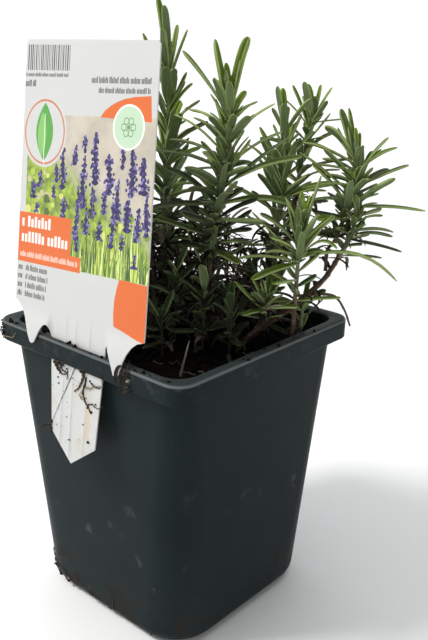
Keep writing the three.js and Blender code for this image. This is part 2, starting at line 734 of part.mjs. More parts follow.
for (const [number, sprig] of sprigs.entries()) {
  const [footX, footY] = sprig.foot;
  const [tipX, tipY] = sprig.tip;
  const ground = soilTop(footX, footY) - potHeight;
  const middle = [(footX + tipX) / 2 + 0.6, (footY + tipY) / 2, sprig.top / 2];
  shoots[sprig.name] = {
    route: [[footX, footY, ground - 5], middle, [tipX, tipY, sprig.top]],
    pairs: Math.round(2 + sprig.top / 10),
    from: 0.3,
    turn: 50 * number,
    low: sprig.dry ? -10 : 15,
    high: sprig.dry ? 40 : 62,
    length: sprig.dry ? 12 : 11,
    width: sprig.dry ? 1.3 : 2.8,
    droop: sprig.dry ? 0.25 : 0.08,
    thick: 1.2,
    rooted: true,
    dry: sprig.dry,
  };
}

const aside = [0, 8, -8, 16, -16, 24, -24];
const wideAside = [0, 15, -15, 30, -30, 45, -45];

function leavesOf(name, shoot, number) {
  const curve = curveOf(shoot.route);
  const leaves = [];
  const tryLeaf = (station, heading, rise, length, width, turns) => {
    const leaf = {
      foot: curve.getPoint(station),
      heading: THREE.MathUtils.degToRad(heading),
      rise: THREE.MathUtils.degToRad(rise),
      length,
      width,
      thickness: shoot.dry ? dryThickness : leafThickness,
      droop: shoot.droop,
      dry: shoot.dry,
    };
    const grown = grow(leaf, name, turns);
    if (grown) leaves.push(grown);
  };
  for (const [station, heading, rise, length, width] of shoot.reach ?? []) {
    tryLeaf(station, heading, rise, length, width, aside);
  }
  const from = shoot.from ?? 0.12;
  const to = shoot.to ?? 1;
  for (let i = 0; i < (shoot.pairs ?? 0); i++) {
    const share = i / (shoot.pairs - 1);
    const station = THREE.MathUtils.lerp(from, to, share);
    const rise = THREE.MathUtils.lerp(shoot.low, shoot.high, share);
    for (const side of [0, 1]) {
      const seed = number * 40 + i * 2 + side;
      const heading = shoot.turn + 90 * i + 180 * side + 30 * (chance(seed, 1) - 0.5);
      const tilt = rise + 16 * (chance(seed, 2) - 0.5);
      const length = shoot.length * (0.78 + 0.4 * chance(seed, 3));
      const width = shoot.width * (0.85 + 0.3 * chance(seed, 4));
      tryLeaf(station, heading, tilt, length, width, wideAside);
    }
  }
  return leaves;
}

// The ends of a shoot's stem: how thick at the foot, how thin at the tip.
function shootEnds(shoot) {
  const thick = shoot.thick ?? shootThickness;
  return { thick, thin: thick * shootTaper };
}

function makeShoot(name, shoot, number) {
  const { thick, thin } = shootEnds(shoot);
  let solid = tube(curveOf(shoot.route), thick, thin, shoot.route.length + 1, 4);
  for (const leaf of leavesOf(name, shoot, number)) solid = solid.add(makeLeaf(leaf));
  return solid;
}

// One dry leaf on its own, standing 3 mm deep in the soil.
const standingLeaf = {
  foot: new THREE.Vector3(24, -23, soilTop(24, -23) - 3),
  heading: THREE.MathUtils.degToRad(80),
  rise: THREE.MathUtils.degToRad(78),
  length: 15,
  width: 2.6,
  thickness: leafThickness,
  droop: 0.04,
};

// ---- the whole plant in its pot ----

const looks = {
  pot: new THREE.MeshStandardMaterial({ color: 0x2c3336, roughness: 0.42, metalness: 0 }),
  soil: new THREE.MeshStandardMaterial({ color: 0x241b15, roughness: 0.95, metalness: 0 }),
  tag: new THREE.MeshStandardMaterial({ color: 0xefeee8, roughness: 0.5, metalness: 0 }),
  bark: new THREE.MeshStandardMaterial({ color: 0x5d4638, roughness: 0.85, metalness: 0 }),
  leaf: new THREE.MeshStandardMaterial({ color: 0x5f7a3a, roughness: 0.7, metalness: 0 }),
  dry: new THREE.MeshStandardMaterial({ color: 0x7c6c55, roughness: 0.9, metalness: 0 }),
};

const plant = new THREE.Group();
plant.name = "potted_lavender";

function put(name, solid, look) {
  const mesh = new THREE.Mesh(geometryOf(solid), look);
  mesh.name = name;
  plant.add(mesh);
}

for (const [name, stem] of Object.entries(woodyStems)) {
  claim(name, curveOf(stem.route), stem.thick, stem.thin);
}
for (const [name, shoot] of Object.entries(shoots)) {
  const { thick, thin } = shootEnds(shoot);
  claim(name, curveOf(shoot.route), thick, thin);
}

const rooted = [
  ...Object.values(woodyStems).filter((stem) => stem.rooted),
  ...Object.values(shoots)
    .filter((shoot) => shoot.rooted)
    .map((shoot) => ({ route: shoot.route, ...shootEnds(shoot) })),
];
const standingSocket = makeLeaf({ ...standingLeaf, width: 5, thickness: 2.2 }).translate([0, 0, -0.8]);

put("pot", makePot(), looks.pot);
put("soil", makeSoil([...rooted.map(makeSocket), standingSocket]), looks.soil);
put("plant_tag", makeTag(), looks.tag);
for (const [name, stem] of Object.entries(woodyStems)) put(name, makeStem(stem), looks.bark);
for (const [number, [name, shoot]] of Object.entries(shoots).entries()) {
  put(name, makeShoot(name, shoot, number), shoot.dry ? looks.dry : looks.leaf);
}
put("standing_dry_leaf", makeLeaf(standingLeaf), looks.dry);

export default plant;
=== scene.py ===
# %% [markdown]
# # A young lavender in a square nursery pot
#
# The plant stands in a tapered pot of anthracite plastic. A printed tag is hooked into the rim.
# This lesson builds what the eye sees: leaves with rolled edges, woody and dried stems, crumbly
# compost, thin moulded plastic and print.
#
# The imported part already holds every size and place. It comes first, and nothing in it is moved.
# Each piece below is laid over one of its nodes, so the plain solid can be hidden and the fine
# surface shown in the same place.

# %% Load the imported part
import math

import bmesh
import bpy
import numpy as np
from mathutils import Matrix, Vector
from mathutils.geometry import delaunay_2d_cdt


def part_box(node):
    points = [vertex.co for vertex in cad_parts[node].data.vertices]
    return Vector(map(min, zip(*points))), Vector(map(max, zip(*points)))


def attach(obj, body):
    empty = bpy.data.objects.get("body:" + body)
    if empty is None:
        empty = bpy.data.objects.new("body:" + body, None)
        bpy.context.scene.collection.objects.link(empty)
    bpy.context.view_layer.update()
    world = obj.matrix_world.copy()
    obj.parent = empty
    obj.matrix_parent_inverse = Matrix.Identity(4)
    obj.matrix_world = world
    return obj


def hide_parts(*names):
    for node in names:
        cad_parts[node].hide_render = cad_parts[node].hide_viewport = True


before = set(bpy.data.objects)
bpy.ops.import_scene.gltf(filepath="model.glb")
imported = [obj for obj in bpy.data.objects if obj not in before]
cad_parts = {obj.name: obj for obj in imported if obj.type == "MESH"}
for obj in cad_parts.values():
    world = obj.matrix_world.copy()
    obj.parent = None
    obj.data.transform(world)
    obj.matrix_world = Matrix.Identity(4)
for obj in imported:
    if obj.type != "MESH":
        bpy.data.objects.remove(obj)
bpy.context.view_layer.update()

MM = 0.001
pot_low, pot_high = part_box("pot")
RIM_HEIGHT = pot_high.z / MM
RIM_HALF = (pot_high.x - pot_low.x) / 2 / MM
print("nodes", len(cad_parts), "rim at", round(RIM_HEIGHT, 1), "mm, half", round(RIM_HALF, 1), "mm")

# %% [markdown]
# ## The camera
#
# The view is from above the pot's front right corner, at the height of the leaves. A camera can be
# aimed with an empty and a constraint, or by writing its matrix. Its yaw, pitch and roll are known,
# so the matrix is written.

# %% Camera
CAMERA_AT = Vector((197.257, -205.268, 204.739)) * MM
CAMERA_YAW = 0.738
CAMERA_PITCH = 0.343
CAMERA_ROLL = 0.013
LENS = 47.76


def camera_matrix():
    level = Matrix.Rotation(CAMERA_YAW, 4, "Z") @ Matrix.Rotation(math.pi / 2 - CAMERA_PITCH, 4, "X")
    return Matrix.Translation(CAMERA_AT) @ level @ Matrix.Rotation(CAMERA_ROLL, 4, "Z")


camera = bpy.data.objects.new("camera", bpy.data.cameras.new("camera"))
camera.data.lens = LENS
camera.data.shift_x = 0.0257
camera.data.shift_y = 0.0033
camera.data.clip_start = 0.01
camera.matrix_world = camera_matrix()
bpy.context.scene.collection.objects.link(camera)
bpy.context.scene.camera = camera
print("camera", [round(x, 3) for x in camera.matrix_world.translation])

# %% [markdown]
# ## A finish as a few short calls
#
# Every surface here is procedural: its colour is worked out from the place of each point and from
# marks left on the mesh, and no picture is loaded. Adding nodes one by one fills a page with
# wiring. A small class keeps it short: a Field is a number at each point, and arithmetic on it adds
# the Math nodes.


# %% Fields
class Field:
    """A number at each point of a surface. + - and * add Math nodes to its finish."""

    def __init__(self, finish, socket):
        self.finish = finish
        self.socket = socket

    def __add__(self, other):
        return self.finish.math("ADD", self, other)

    def __sub__(self, other):
        return self.finish.math("SUBTRACT", self, other)

    def __rsub__(self, other):
        return self.finish.math("SUBTRACT", other, self)

    def __mul__(self, other):
        return self.finish.math("MULTIPLY", self, other)

    __radd__ = __add__
    __rmul__ = __mul__

    def above(self, edge, soft=0.1):
        """1 above the edge and 0 below it, with a ramp as wide as soft."""
        return self.finish.math("MULTIPLY_ADD", self - edge, 1 / soft, 0.5, clamp=True)

    def below(self, edge, soft=0.1):
        return 1 - self.above(edge, soft)

    def between(self, low, high, soft=0.1):
        return self.above(low, soft) * self.below(high, soft)


print("field arithmetic ready")


# %% Finishes
class Finish:
    """A material with its shader, and short calls for the nodes that feed it."""

    def __init__(self, name, roughness=0.6, **uniform):
        self.material = bpy.data.materials.new(name)
        self.material.use_nodes = True
        self.tree = self.material.node_tree
        self.shader = self.tree.nodes["Principled BSDF"]
        self.shader.inputs["Roughness"].default_value = roughness
        for key, value in uniform.items():
            self.shader.inputs[key.replace("_", " ")].default_value = value

    def feed(self, socket, value):
        if value is None:
            return
        if isinstance(value, Field):
            self.tree.links.new(value.socket, socket)
        elif hasattr(value, "__len__") and len(value) == 3 and socket.type == "RGBA":
            socket.default_value = (*value, 1)
        else:
            socket.default_value = value

    def math(self, operation, *values, clamp=False):
        node = self.tree.nodes.new("ShaderNodeMath")
        node.operation = operation
        node.use_clamp = clamp
        for socket, value in zip(node.inputs, values):
            self.feed(socket, value)
        return Field(self, node.outputs[0])

    def mark(self, name):
        """A mark that was left on the mesh, such as how far along its leaf a point lies."""
        node = self.tree.nodes.new("ShaderNodeAttribute")
        node.attribute_name = name
        return Field(self, node.outputs["Fac"])

    def place(self):
        """Where the point is, in metres."""
        node = self.tree.nodes.new("ShaderNodeTexCoord")
        return Field(self, node.outputs["Object"])

    def part_of(self, vector, axis):
        node = self.tree.nodes.new("ShaderNodeSeparateXYZ")
        self.feed(node.inputs[0], vector)
        return Field(self, node.outputs[axis])

    def vector(self, *values):
        node = self.tree.nodes.new("ShaderNodeCombineXYZ")
        for socket, value in zip(node.inputs, values):
            self.feed(socket, value)
        return Field(self, node.outputs[0])

    def noise(self, scale, detail=3.0, roughness=0.55, at=None, distortion=0.0):
        node = self.tree.nodes.new("ShaderNodeTexNoise")
        self.feed(node.inputs["Vector"], at or self.place())
        node.inputs["Scale"].default_value = scale
        node.inputs["Detail"].default_value = detail
        node.inputs["Roughness"].default_value = roughness
        node.inputs["Distortion"].default_value = distortion
        return Field(self, node.outputs[0])

    def mix(self, share, first, second):
        """first where share is 0, and second where it is 1; both are colours."""
        node = self.tree.nodes.new("ShaderNodeMix")
        node.data_type = "RGBA"
        self.feed(node.inputs[0], share)
        self.feed(node.inputs[6], first)
        self.feed(node.inputs[7], second)
        return Field(self, node.outputs[2])

    def paint(self, colour):
        self.feed(self.shader.inputs["Base Color"], colour)

    def gloss(self, roughness):
        self.feed(self.shader.inputs["Roughness"], roughness)

    def relief(self, height, depth, strength=1.0):
        """Bump that raises the surface by height times depth, in millimetres."""
        node = self.tree.nodes.new("ShaderNodeBump")
        node.inputs["Strength"].default_value = strength
        node.inputs["Distance"].default_value = depth * MM
        self.feed(node.inputs["Height"], height)
        self.tree.links.new(node.outputs[0], self.shader.inputs["Normal"])


print("finish calls ready")

# %% [markdown]
# ## Collecting a mesh
#
# A leaf, a stem and a root are all the same kind of body: rings of points along a line, joined by
# quads and closed at both ends. Thousands of such bodies make this plant, so the points are worked
# out with numpy, and each piece is filled once. Marks are numbers kept at each point for the finish
# to read.


# %% Bodies made of rings
class Body:
    """Gathers closed bodies into the mesh of one piece."""

    def __init__(self):
        self.points = []
        self.faces = []
        self.finish_of_face = []
        self.marks = {}
        self.count = 0

    def add(self, points, faces, finish=0, **marks):
        points = np.asarray(points, float).reshape(-1, 3)
        self.faces += [tuple(self.count + i for i in face) for face in faces]
        self.finish_of_face += [finish] * len(faces)
        for name in set(self.marks) | set(marks):
            rows = self.marks.setdefault(name, [np.zeros(self.count)] if self.count else [])
            rows.append(np.broadcast_to(np.asarray(marks.get(name, 0.0), float), len(points)))
        self.points.append(points)
        self.count += len(points)

    def rings(self, rings, finish=0, **marks):
        """Rings run counter-clockwise as seen from the last one."""
        steps, sides = rings.shape[:2]
        faces = [tuple(reversed(range(sides)))]
        for k in range(steps - 1):
            for i in range(sides):
                j = (i + 1) % sides
                faces.append((k * sides + i, k * sides + j, (k + 1) * sides + j, (k + 1) * sides + i))
        faces.append(tuple(range((steps - 1) * sides, steps * sides)))
        self.add(rings.reshape(-1, 3), faces, finish, **marks)

    def piece(self, name, slot, node, *finishes, crease=40):
        """The finished object, riding on the root body. Points come in millimetres."""
        mesh = bpy.data.meshes.new(name)
        mesh.from_pydata(np.concatenate(self.points) * MM, [], self.faces)
        for finish in finishes:
            mesh.materials.append(finish.material)
        mesh.polygons.foreach_set("material_index", self.finish_of_face)
        for key, rows in self.marks.items():
            values = np.concatenate(rows).astype(np.float32)
            mesh.attributes.new(key, "FLOAT", "POINT").data.foreach_set("value", values)
        mesh.validate()
        made = bpy.data.objects.new(name, mesh)
        bpy.context.scene.collection.objects.link(made)
        return settle(made, node, crease)


def settle(made, node=None, crease=40):
    """Smooth shading up to the crease angle, and the piece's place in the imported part."""
    made.data.polygons.foreach_set("use_smooth", [True] * len(made.data.polygons))
    made.data.set_sharp_from_angle(angle=math.radians(crease))
    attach(made, "root")
    if node:
        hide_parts(node)
    return made


def chance(i, k):
    """The same jitter everywhere: a number from 0 to 1 for a pair of counters."""
    wave = math.sin(i * 12.9898 + k * 78.233) * 43758.5453
    return wave - math.floor(wave)


def spread(i, k, low, high):
    return low + (high - low) * chance(i, k)


print("bodies ready")

# %% [markdown]
# ## The pot
#
# The pot is one thin moulding. Its walls lean in towards the base, the rim rolls out and turns down
# into a skirt, and the base stands on a foot ring. A rounded square drawn at many heights and
# lofted gives the whole shell, out and in, as one closed body. The tag's slots, the drain slots and
# the foot's notches are then cut with one boolean. The corners are rounder at the base than at the
# rim, so the corner radius is worked out at each height.

# %% The pot's sizes
SKIRT_HEIGHT = 6.9
SKIRT_THICKNESS = 0.8
FLANGE = 1.2
RIM_CORNER = 6.6
WALL_TOP = RIM_HALF - 3.0
WALL_TAPER = 4.7
WALL = 0.9
TOP_CORNER = 8.5
BASE_CORNER = 17.0
BASE_FILLET = 5.9
FOOT_HEIGHT = 1.2
FOOT_WIDTH = 6.5
FLOOR = 1.2
PAD_RADIUS = 12.0
CORNER_STEPS = 10
LIP_ROUNDING = 0.9
ROUNDING_ANGLES = (20, 45, 70, 90)


def square_ring(half, corner, z):
    """A square with round corners, counter-clockwise from above."""
    ring = []
    for k in range(4):
        side = k * math.pi / 2
        cx = math.copysign(half - corner, math.cos(side + math.pi / 4))
        cy = math.copysign(half - corner, math.sin(side + math.pi / 4))
        for i in range(CORNER_STEPS + 1):
            angle = side + i / CORNER_STEPS * math.pi / 2
            ring.append((cx + corner * math.cos(angle), cy + corner * math.sin(angle), z))
    return ring


def wall_half(z):
    return WALL_TOP - WALL_TAPER * (1 - z / RIM_HEIGHT)


def wall_ring(z, inset=0.0, floor=0.0):
    """The wall at a height, moved in by inset, with the base fillet starting at the height of floor."""
    fillet = BASE_FILLET - inset
    below = max(0.0, fillet - (z - floor))
    pulled_in = fillet - math.sqrt(fillet * fillet - below * below) + inset
    corner = BASE_CORNER + (TOP_CORNER - BASE_CORNER) * z / RIM_HEIGHT
    return square_ring(wall_half(z) - pulled_in, corner - pulled_in, z)


print("wall is", 2 * wall_half(0), "mm wide at the base and", 2 * wall_half(RIM_HEIGHT), "mm at the rim")


# %% [markdown]
# The shell is a list of rings: up the outside from the foot, over the skirt and the lip, and down
# the inside. Lofting closes them into one skin with a real wall thickness, as a mould would. A
# modifier that thickens a sheet would be shorter, but the skirt and the foot need sections of their
# own.


# %% The pot's shell
def pot_rings():
    channel = RIM_HALF - SKIRT_THICKNESS
    channel_corner = RIM_CORNER - SKIRT_THICKNESS
    under = RIM_HEIGHT - FLANGE
    skirt_bottom = RIM_HEIGHT - SKIRT_HEIGHT
    foot_inner = wall_half(0) - BASE_FILLET - FOOT_WIDTH + 3
    foot_corner = BASE_CORNER - FOOT_WIDTH
    inside_floor = FOOT_HEIGHT + FLOOR
    rings = [
        square_ring(foot_inner, foot_corner, FOOT_HEIGHT),
        square_ring(foot_inner + 0.1, foot_corner, 0.3),
        square_ring(foot_inner + 0.4, foot_corner, 0),
    ]
    rings += [wall_ring(BASE_FILLET * share) for share in (0, 0.03, 0.12, 0.28, 0.5, 0.75, 1)]
    rings += [wall_ring(z) for z in (25, 50, 75, under - 0.8, under - 0.2)]
    rings += [
        square_ring(wall_half(under) + 0.5, TOP_CORNER, under),
        square_ring(channel - 0.5, channel_corner, under),
        square_ring(channel, channel_corner, under - 0.5),
        square_ring(channel, channel_corner, skirt_bottom + 0.1),
        square_ring(channel + 0.15, channel_corner, skirt_bottom),
        square_ring(RIM_HALF - 0.25, RIM_CORNER, skirt_bottom),
        square_ring(RIM_HALF - 0.05, RIM_CORNER, skirt_bottom + 0.25),
        square_ring(RIM_HALF - 0.05, RIM_CORNER, skirt_bottom + 2.5),
        square_ring(RIM_HALF, RIM_CORNER, RIM_HEIGHT - 1.2),
    ]
    for angle in ROUNDING_ANGLES:
        turn = math.radians(angle)
        inwards = LIP_ROUNDING * (1 - math.cos(turn))
        z = RIM_HEIGHT - LIP_ROUNDING * (1 - math.sin(turn))
        rings.append(square_ring(RIM_HALF - inwards, RIM_CORNER - inwards, z))
    rings += [wall_ring(RIM_HEIGHT, WALL - 0.4), wall_ring(RIM_HEIGHT - 0.12, WALL - 0.1)]
    rings += [wall_ring(z, WALL, inside_floor) for z in (RIM_HEIGHT - 0.5, 75, 50, 25)]
    inner_fillet = BASE_FILLET - WALL
    for share in (1, 0.6, 0.3, 0.1, 0):
        rings.append(wall_ring(inside_floor + inner_fillet * share, WALL, inside_floor))
    return np.array(rings)


pot_body = Body()
pot_body.rings(pot_rings())
print("pot shell has", pot_body.count, "points")

# %% [markdown]
# The slots are holes with straight sides, so plain blocks are good enough as cutters. They are
# joined into one mesh and taken away in a single boolean. The pad in the middle of the underside is
# added the same way.


# %% Slots, notches and the pad
def block(middle, size, turn=0.0):
    """A cutter's points and faces, turned about the pot's middle."""
    corners = []
    for x in (-0.5, 0.5):
        for y in (-0.5, 0.5):
            for z in (-0.5, 0.5):
                point = Vector(m + share * s for m, share, s in zip(middle, (x, y, z), size))
                corners.append(Matrix.Rotation(turn, 3, "Z") @ point)
    faces = [(0, 1, 3, 2), (4, 6, 7, 5), (0, 4, 5, 1), (2, 3, 7, 6), (0, 2, 6, 4), (1, 5, 7, 3)]
    return corners, faces


TAG_TILT = math.radians(9)
TAG_LEAN = math.radians(3.3)
TAG_SHEET = 0.45
TAG_OFFSET = -4.4
TONGUE_OFFSET = 2.4
TONGUE_WIDTH = 26.0
FIT = 0.3
SLOT_WIDTH = 1.3
DRAIN_SIZE = (3.6, 12, 8)
DRAIN_ASIDE = 9
NOTCH_SIZE = (20, 10, 2 * FOOT_HEIGHT)
SLOT_Y = -(RIM_HALF - SKIRT_THICKNESS - FIT - TAG_SHEET / 2 - math.tan(TAG_TILT) * SKIRT_HEIGHT)


def pot_cutters():
    cuts = Body()
    slot_length = TONGUE_WIDTH + 1.6
    for x, y in ((TAG_OFFSET + TONGUE_OFFSET, SLOT_Y), (0, -SLOT_Y)):
        cuts.add(*block((x, y, RIM_HEIGHT - FLANGE / 2), (slot_length, SLOT_WIDTH, FLANGE + 2)))
    foot_inner = wall_half(0) - BASE_FILLET - FOOT_WIDTH + 3
    drain = foot_inner - 5.8
    for k in range(4):
        turn = k * math.pi / 2
        cuts.add(*block((foot_inner + 8, 0, 0), NOTCH_SIZE, turn))
        for side in (-1, 1):
            cuts.add(*block((drain, DRAIN_ASIDE * side, FOOT_HEIGHT + FLOOR / 2), DRAIN_SIZE, turn))
    return cuts


def pad_body():
    turns = [math.radians(a) for a in range(0, 360, 9)]
    rings = []
    for radius, z in ((PAD_RADIUS - 0.3, 0), (PAD_RADIUS, 0.3), (PAD_RADIUS, FOOT_HEIGHT + 0.4)):
        rings.append([(radius * math.cos(a), radius * math.sin(a), z) for a in turns])
    pad = Body()
    pad.rings(np.array(rings))
    return pad


def loose_object(body, name):
    mesh = bpy.data.meshes.new(name)
    mesh.from_pydata(np.concatenate(body.points) * MM, [], body.faces)
    made = bpy.data.objects.new(name, mesh)
    bpy.context.scene.collection.objects.link(made)
    return made


def boolean(target, tool, operation):
    """Joins or cuts, keeps the result as plain mesh, and removes the tool."""
    modifier = target.modifiers.new("boolean", "BOOLEAN")
    modifier.operation = operation
    modifier.solver = "EXACT"
    modifier.object = tool
    graph = bpy.context.evaluated_depsgraph_get()
    mesh = bpy.data.meshes.new_from_object(target.evaluated_get(graph))
    target.modifiers.remove(modifier)
    target.data = mesh
    bpy.data.objects.remove(tool)


pot = loose_object(pot_body, "pot_shell")
boolean(pot, loose_object(pot_cutters(), "cutters"), "DIFFERENCE")
boolean(pot, loose_object(pad_body(), "pad"), "UNION")
print("pot after cutting:", len(pot.data.polygons), "faces")

# %% [markdown]
# Nursery plastic is nearly black with a trace of blue. New, it has a low satin gloss. In use it
# gathers pale dust in fine specks, rubs along the rim and gets soil on its lower corners. Each of
# these is one field: a noise whose scale is its real size, kept to the height where it belongs.


# %% Anthracite plastic
def anthracite_plastic():
    finish = Finish("anthracite_plastic", Specular_IOR_Level=0.05)
    height = finish.part_of(finish.place(), "Z")
    clouds = finish.noise(28, 4)
    colour = finish.mix(clouds, (0.0070, 0.0118, 0.0130), (0.0145, 0.0220, 0.0232))
    rubbed = finish.noise(700, 3).above(0.70, 0.1) * finish.noise(60, 3).above(0.58, 0.16)
    colour = finish.mix(rubbed * 0.12, colour, (0.16, 0.17, 0.17))
    dust = finish.noise(520, 2, 0.4).above(0.76, 0.04) * finish.noise(40, 2).above(0.55, 0.1)
    colour = finish.mix(dust * 0.25, colour, (0.20, 0.19, 0.16))
    smudge = finish.noise(110, 3, 0.5).above(0.70, 0.08) * height.below(0.06, 0.03)
    colour = finish.mix(smudge * 0.22, colour, (0.16, 0.155, 0.14))
    low = height.below(0.014, 0.02) * finish.noise(150, 5, 0.7).above(0.55, 0.1)
    colour = finish.mix(low * 0.8, colour, (0.030, 0.023, 0.016))
    rim = height.above(RIM_HEIGHT * MM - 0.0075, 0.0004)
    worn = rim * finish.noise(240, 4, 0.7).above(0.62, 0.1)
    colour = finish.mix(worn * 0.2, colour, (0.10, 0.105, 0.105))
    # painted highlight: a thin pale band along the rounded top of the rim stands for the light caught
    # there
    lip_highlight = height.between(RIM_HEIGHT * MM - 0.0008, RIM_HEIGHT * MM - 0.0001, 0.0003)
    colour = finish.mix(lip_highlight * 0.8, colour, (0.13, 0.14, 0.14))
    finish.paint(colour)
    finish.gloss(0.34 + 0.16 * finish.noise(70, 4) + 0.3 * low)
    moulded = finish.noise(1600, 2) * 0.5 + finish.noise(18, 2) * 2.0
    finish.relief(moulded + low * 3.0, 0.05, 0.5)
    return finish


plastic = anthracite_plastic()
pot.data.materials.clear()
pot.data.materials.append(plastic.material)
settle(pot, "pot", crease=35)
print("pot", [round(x, 4) for x in pot.dimensions])

# %% [markdown]
# ## The compost
#
# The compost is peat and bark fibre, dark where it is moist. It lies a centimetre below the rim, a
# little higher in the middle and against the left corner. A flat sheet with bump would look painted
# here, because the camera looks down on it at a low angle. So the surface is real: a fine grid with
# lumps, then loose crumbs and fibres over it.

# %% The compost's surface
SOIL_DEPTH = 9.0
SOIL_FALL = 2.94
CROWN_MOUND = 4.0
CROWN_RADIUS = 22.0
COMPOST_RINGS = 46


def soil_top(x, y):
    """The height of the compost, in millimetres."""
    away = np.hypot(x - 4, y - 4) / CROWN_RADIUS
    mound = CROWN_MOUND * np.exp(-away * away)
    slope = -SOIL_FALL / 2 * (x + y) / WALL_TOP
    crumbs = 0.9 * np.sin(x * 0.55 + 1) * np.cos(y * 0.5) + 0.5 * np.sin(x * 1.3 + y * 0.9)
    return RIM_HEIGHT - SOIL_DEPTH + mound + slope + crumbs


def lumps(x, y):
    """Finer lumps, laid over the compost's height: nine waves, each finer and lower than the last."""
    total = np.zeros_like(x)
    for k in range(9):
        turn = 2.4 * k
        stretch = 0.9 * 1.42**k
        wave = np.sin((x * math.cos(turn) + y * math.sin(turn)) * stretch + 3 * k)
        cross = np.cos((y * math.cos(turn) - x * math.sin(turn)) * stretch * 0.8 + 5 * k)
        total += wave * cross * 0.55 / 1.25**k
    return total


def compost_brim(z, floor=0.0):
    """The compost's edge against the wall at a height, with a point at least every 1.3 mm at the top."""
    inset = WALL + 0.05
    top = np.array(wall_ring(RIM_HEIGHT - SOIL_DEPTH, inset))
    brim = np.array(wall_ring(z, inset, floor))
    points = []
    for i, a in enumerate(brim):
        ahead = (i + 1) % len(brim)
        steps = max(1, round(np.linalg.norm(top[ahead] - top[i]) / 1.3))
        points += [a + (brim[ahead] - a) * k / steps for k in range(steps)]
    return np.array(points)


def compost_body():
    """Rings that go up inside the wall and then in across the top."""
    floor = FOOT_HEIGHT + FLOOR + FIT
    heights = (floor + 1.5, floor + BASE_FILLET, 50, RIM_HEIGHT - SOIL_DEPTH - 4)
    rings = [compost_brim(z, floor) for z in heights]
    brim = compost_brim(RIM_HEIGHT - SOIL_DEPTH)
    for k in range(COMPOST_RINGS):
        share = 1 - k / COMPOST_RINGS
        xy = brim[:, :2] * share
        top = soil_top(xy[:, 0], xy[:, 1]) + lumps(xy[:, 0], xy[:, 1]) * min(1, (1 - share) * 12 + 0.4)
        rings.append(np.column_stack([xy, top]))
    return np.array(rings)


compost_mesh = Body()
compost_mesh.rings(compost_body())
print("compost has", compost_mesh.count, "points")


# %% [markdown]
# Moist peat is almost black, with paler threads of bark in it. Its colour needs only two noises,
# because the lumps and crumbs are real shapes. A fine bump breaks up what is left of the smooth
# grid.


# %% Compost finish
def compost_finish():
    finish = Finish("compost", roughness=0.97, Specular_IOR_Level=0.1)
    clouds = finish.noise(220, 6, 0.7)
    colour = finish.mix(clouds.above(0.5, 0.4), (0.0035, 0.0028, 0.0022), (0.016, 0.011, 0.008))
    fibres = finish.noise(700, 4, 0.75, distortion=1.5).above(0.64, 0.08)
    colour = finish.mix(fibres * 0.6, colour, (0.060, 0.042, 0.028))
    finish.paint(colour)
    finish.relief(finish.noise(520, 6, 0.75), 0.9, 0.9)
    return finish


compost = compost_finish()
compost_piece = compost_mesh.piece("compost_surface", "compost", "soil", compost, crease=180)
print("compost", [round(x, 4) for x in compost_piece.dimensions])

# %% [markdown]
# ## Curves for stems
#
# A stem is a smooth line through a few chosen points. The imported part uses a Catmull-Rom curve,
# which passes through every point, so the same formula is written here and each leaf's foot lands
# on its own stem.


# %% Smooth lines
class Line:
    """A Catmull-Rom curve through points [x, y, height above the rim], in millimetres."""

    def __init__(self, route):
        self.knots = np.array(route, float) + (0, 0, RIM_HEIGHT)
        spots = np.array([self.at(k / 200) for k in range(201)])
        steps = np.linalg.norm(np.diff(spots, axis=0), axis=1)
        self.lengths = np.concatenate([[0], np.cumsum(steps)])

    def at(self, t):
        knots = self.knots
        last = len(knots) - 1
        k = min(int(t * last), last - 1)
        w = t * last - k
        before = knots[k - 1] if k else 2 * knots[0] - knots[1]
        after = knots[k + 2] if k + 2 <= last else 2 * knots[last] - knots[last - 1]
        a, b = knots[k], knots[k + 1]
        ta, tb = (b - before) / 2, (after - a) / 2
        return a + ta * w + (3 * (b - a) - 2 * ta - tb) * w**2 + (2 * (a - b) + ta + tb) * w**3

    def share(self, s):
        """The point at a share of the length."""
        return self.at(float(np.interp(s * self.lengths[-1], self.lengths, np.linspace(0, 1, 201))))

    def heading(self, t):
        step = self.at(min(1, t + 1e-4)) - self.at(max(0, t - 1e-4))
        return step / np.linalg.norm(step)


def turned_frames(points):
    """Two directions across a line at each point, carried along it without twist."""
    along = np.gradient(points, axis=0)
    along /= np.linalg.norm(along, axis=1)[:, None]
    start = np.array((0.0, 0.0, 1.0)) if abs(along[0][2]) < 0.9 else np.array((1.0, 0.0, 0.0))
    across = []
    for step in along:
        start = start - step * start.dot(step)
        start = start / np.linalg.norm(start)
        across.append(start)
    across = np.array(across)
    return across, np.cross(along, across)


def tube_rings(points, radii, sides, shape=None):
    """Rings of a round body along points; shape gives each side's share of the radius."""
    points = np.asarray(points, float)
    first, second = turned_frames(points)
    turns = np.arange(sides) * 2 * math.pi / sides
    reach = np.asarray(radii, float)[:, None] * (np.ones(sides) if shape is None else shape)
    cos, sin = np.cos(turns)[None, :, None], np.sin(turns)[None, :, None]
    out = cos * first[:, None, :] + sin * second[:, None, :]
    return points[:, None, :] + reach[:, :, None] * out


print("lines ready")

# %% [markdown]
# ## Where everything grows
#
# These tables are the plant's plan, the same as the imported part's: routes of the stems, and the
# leaves that stand out, as place on the stem, heading, rise, length and width. Directions are in
# degrees. The rest of the leaves come in opposite pairs set crosswise, by a rule. A leaf that would
# run into its neighbour turns aside or stays short.

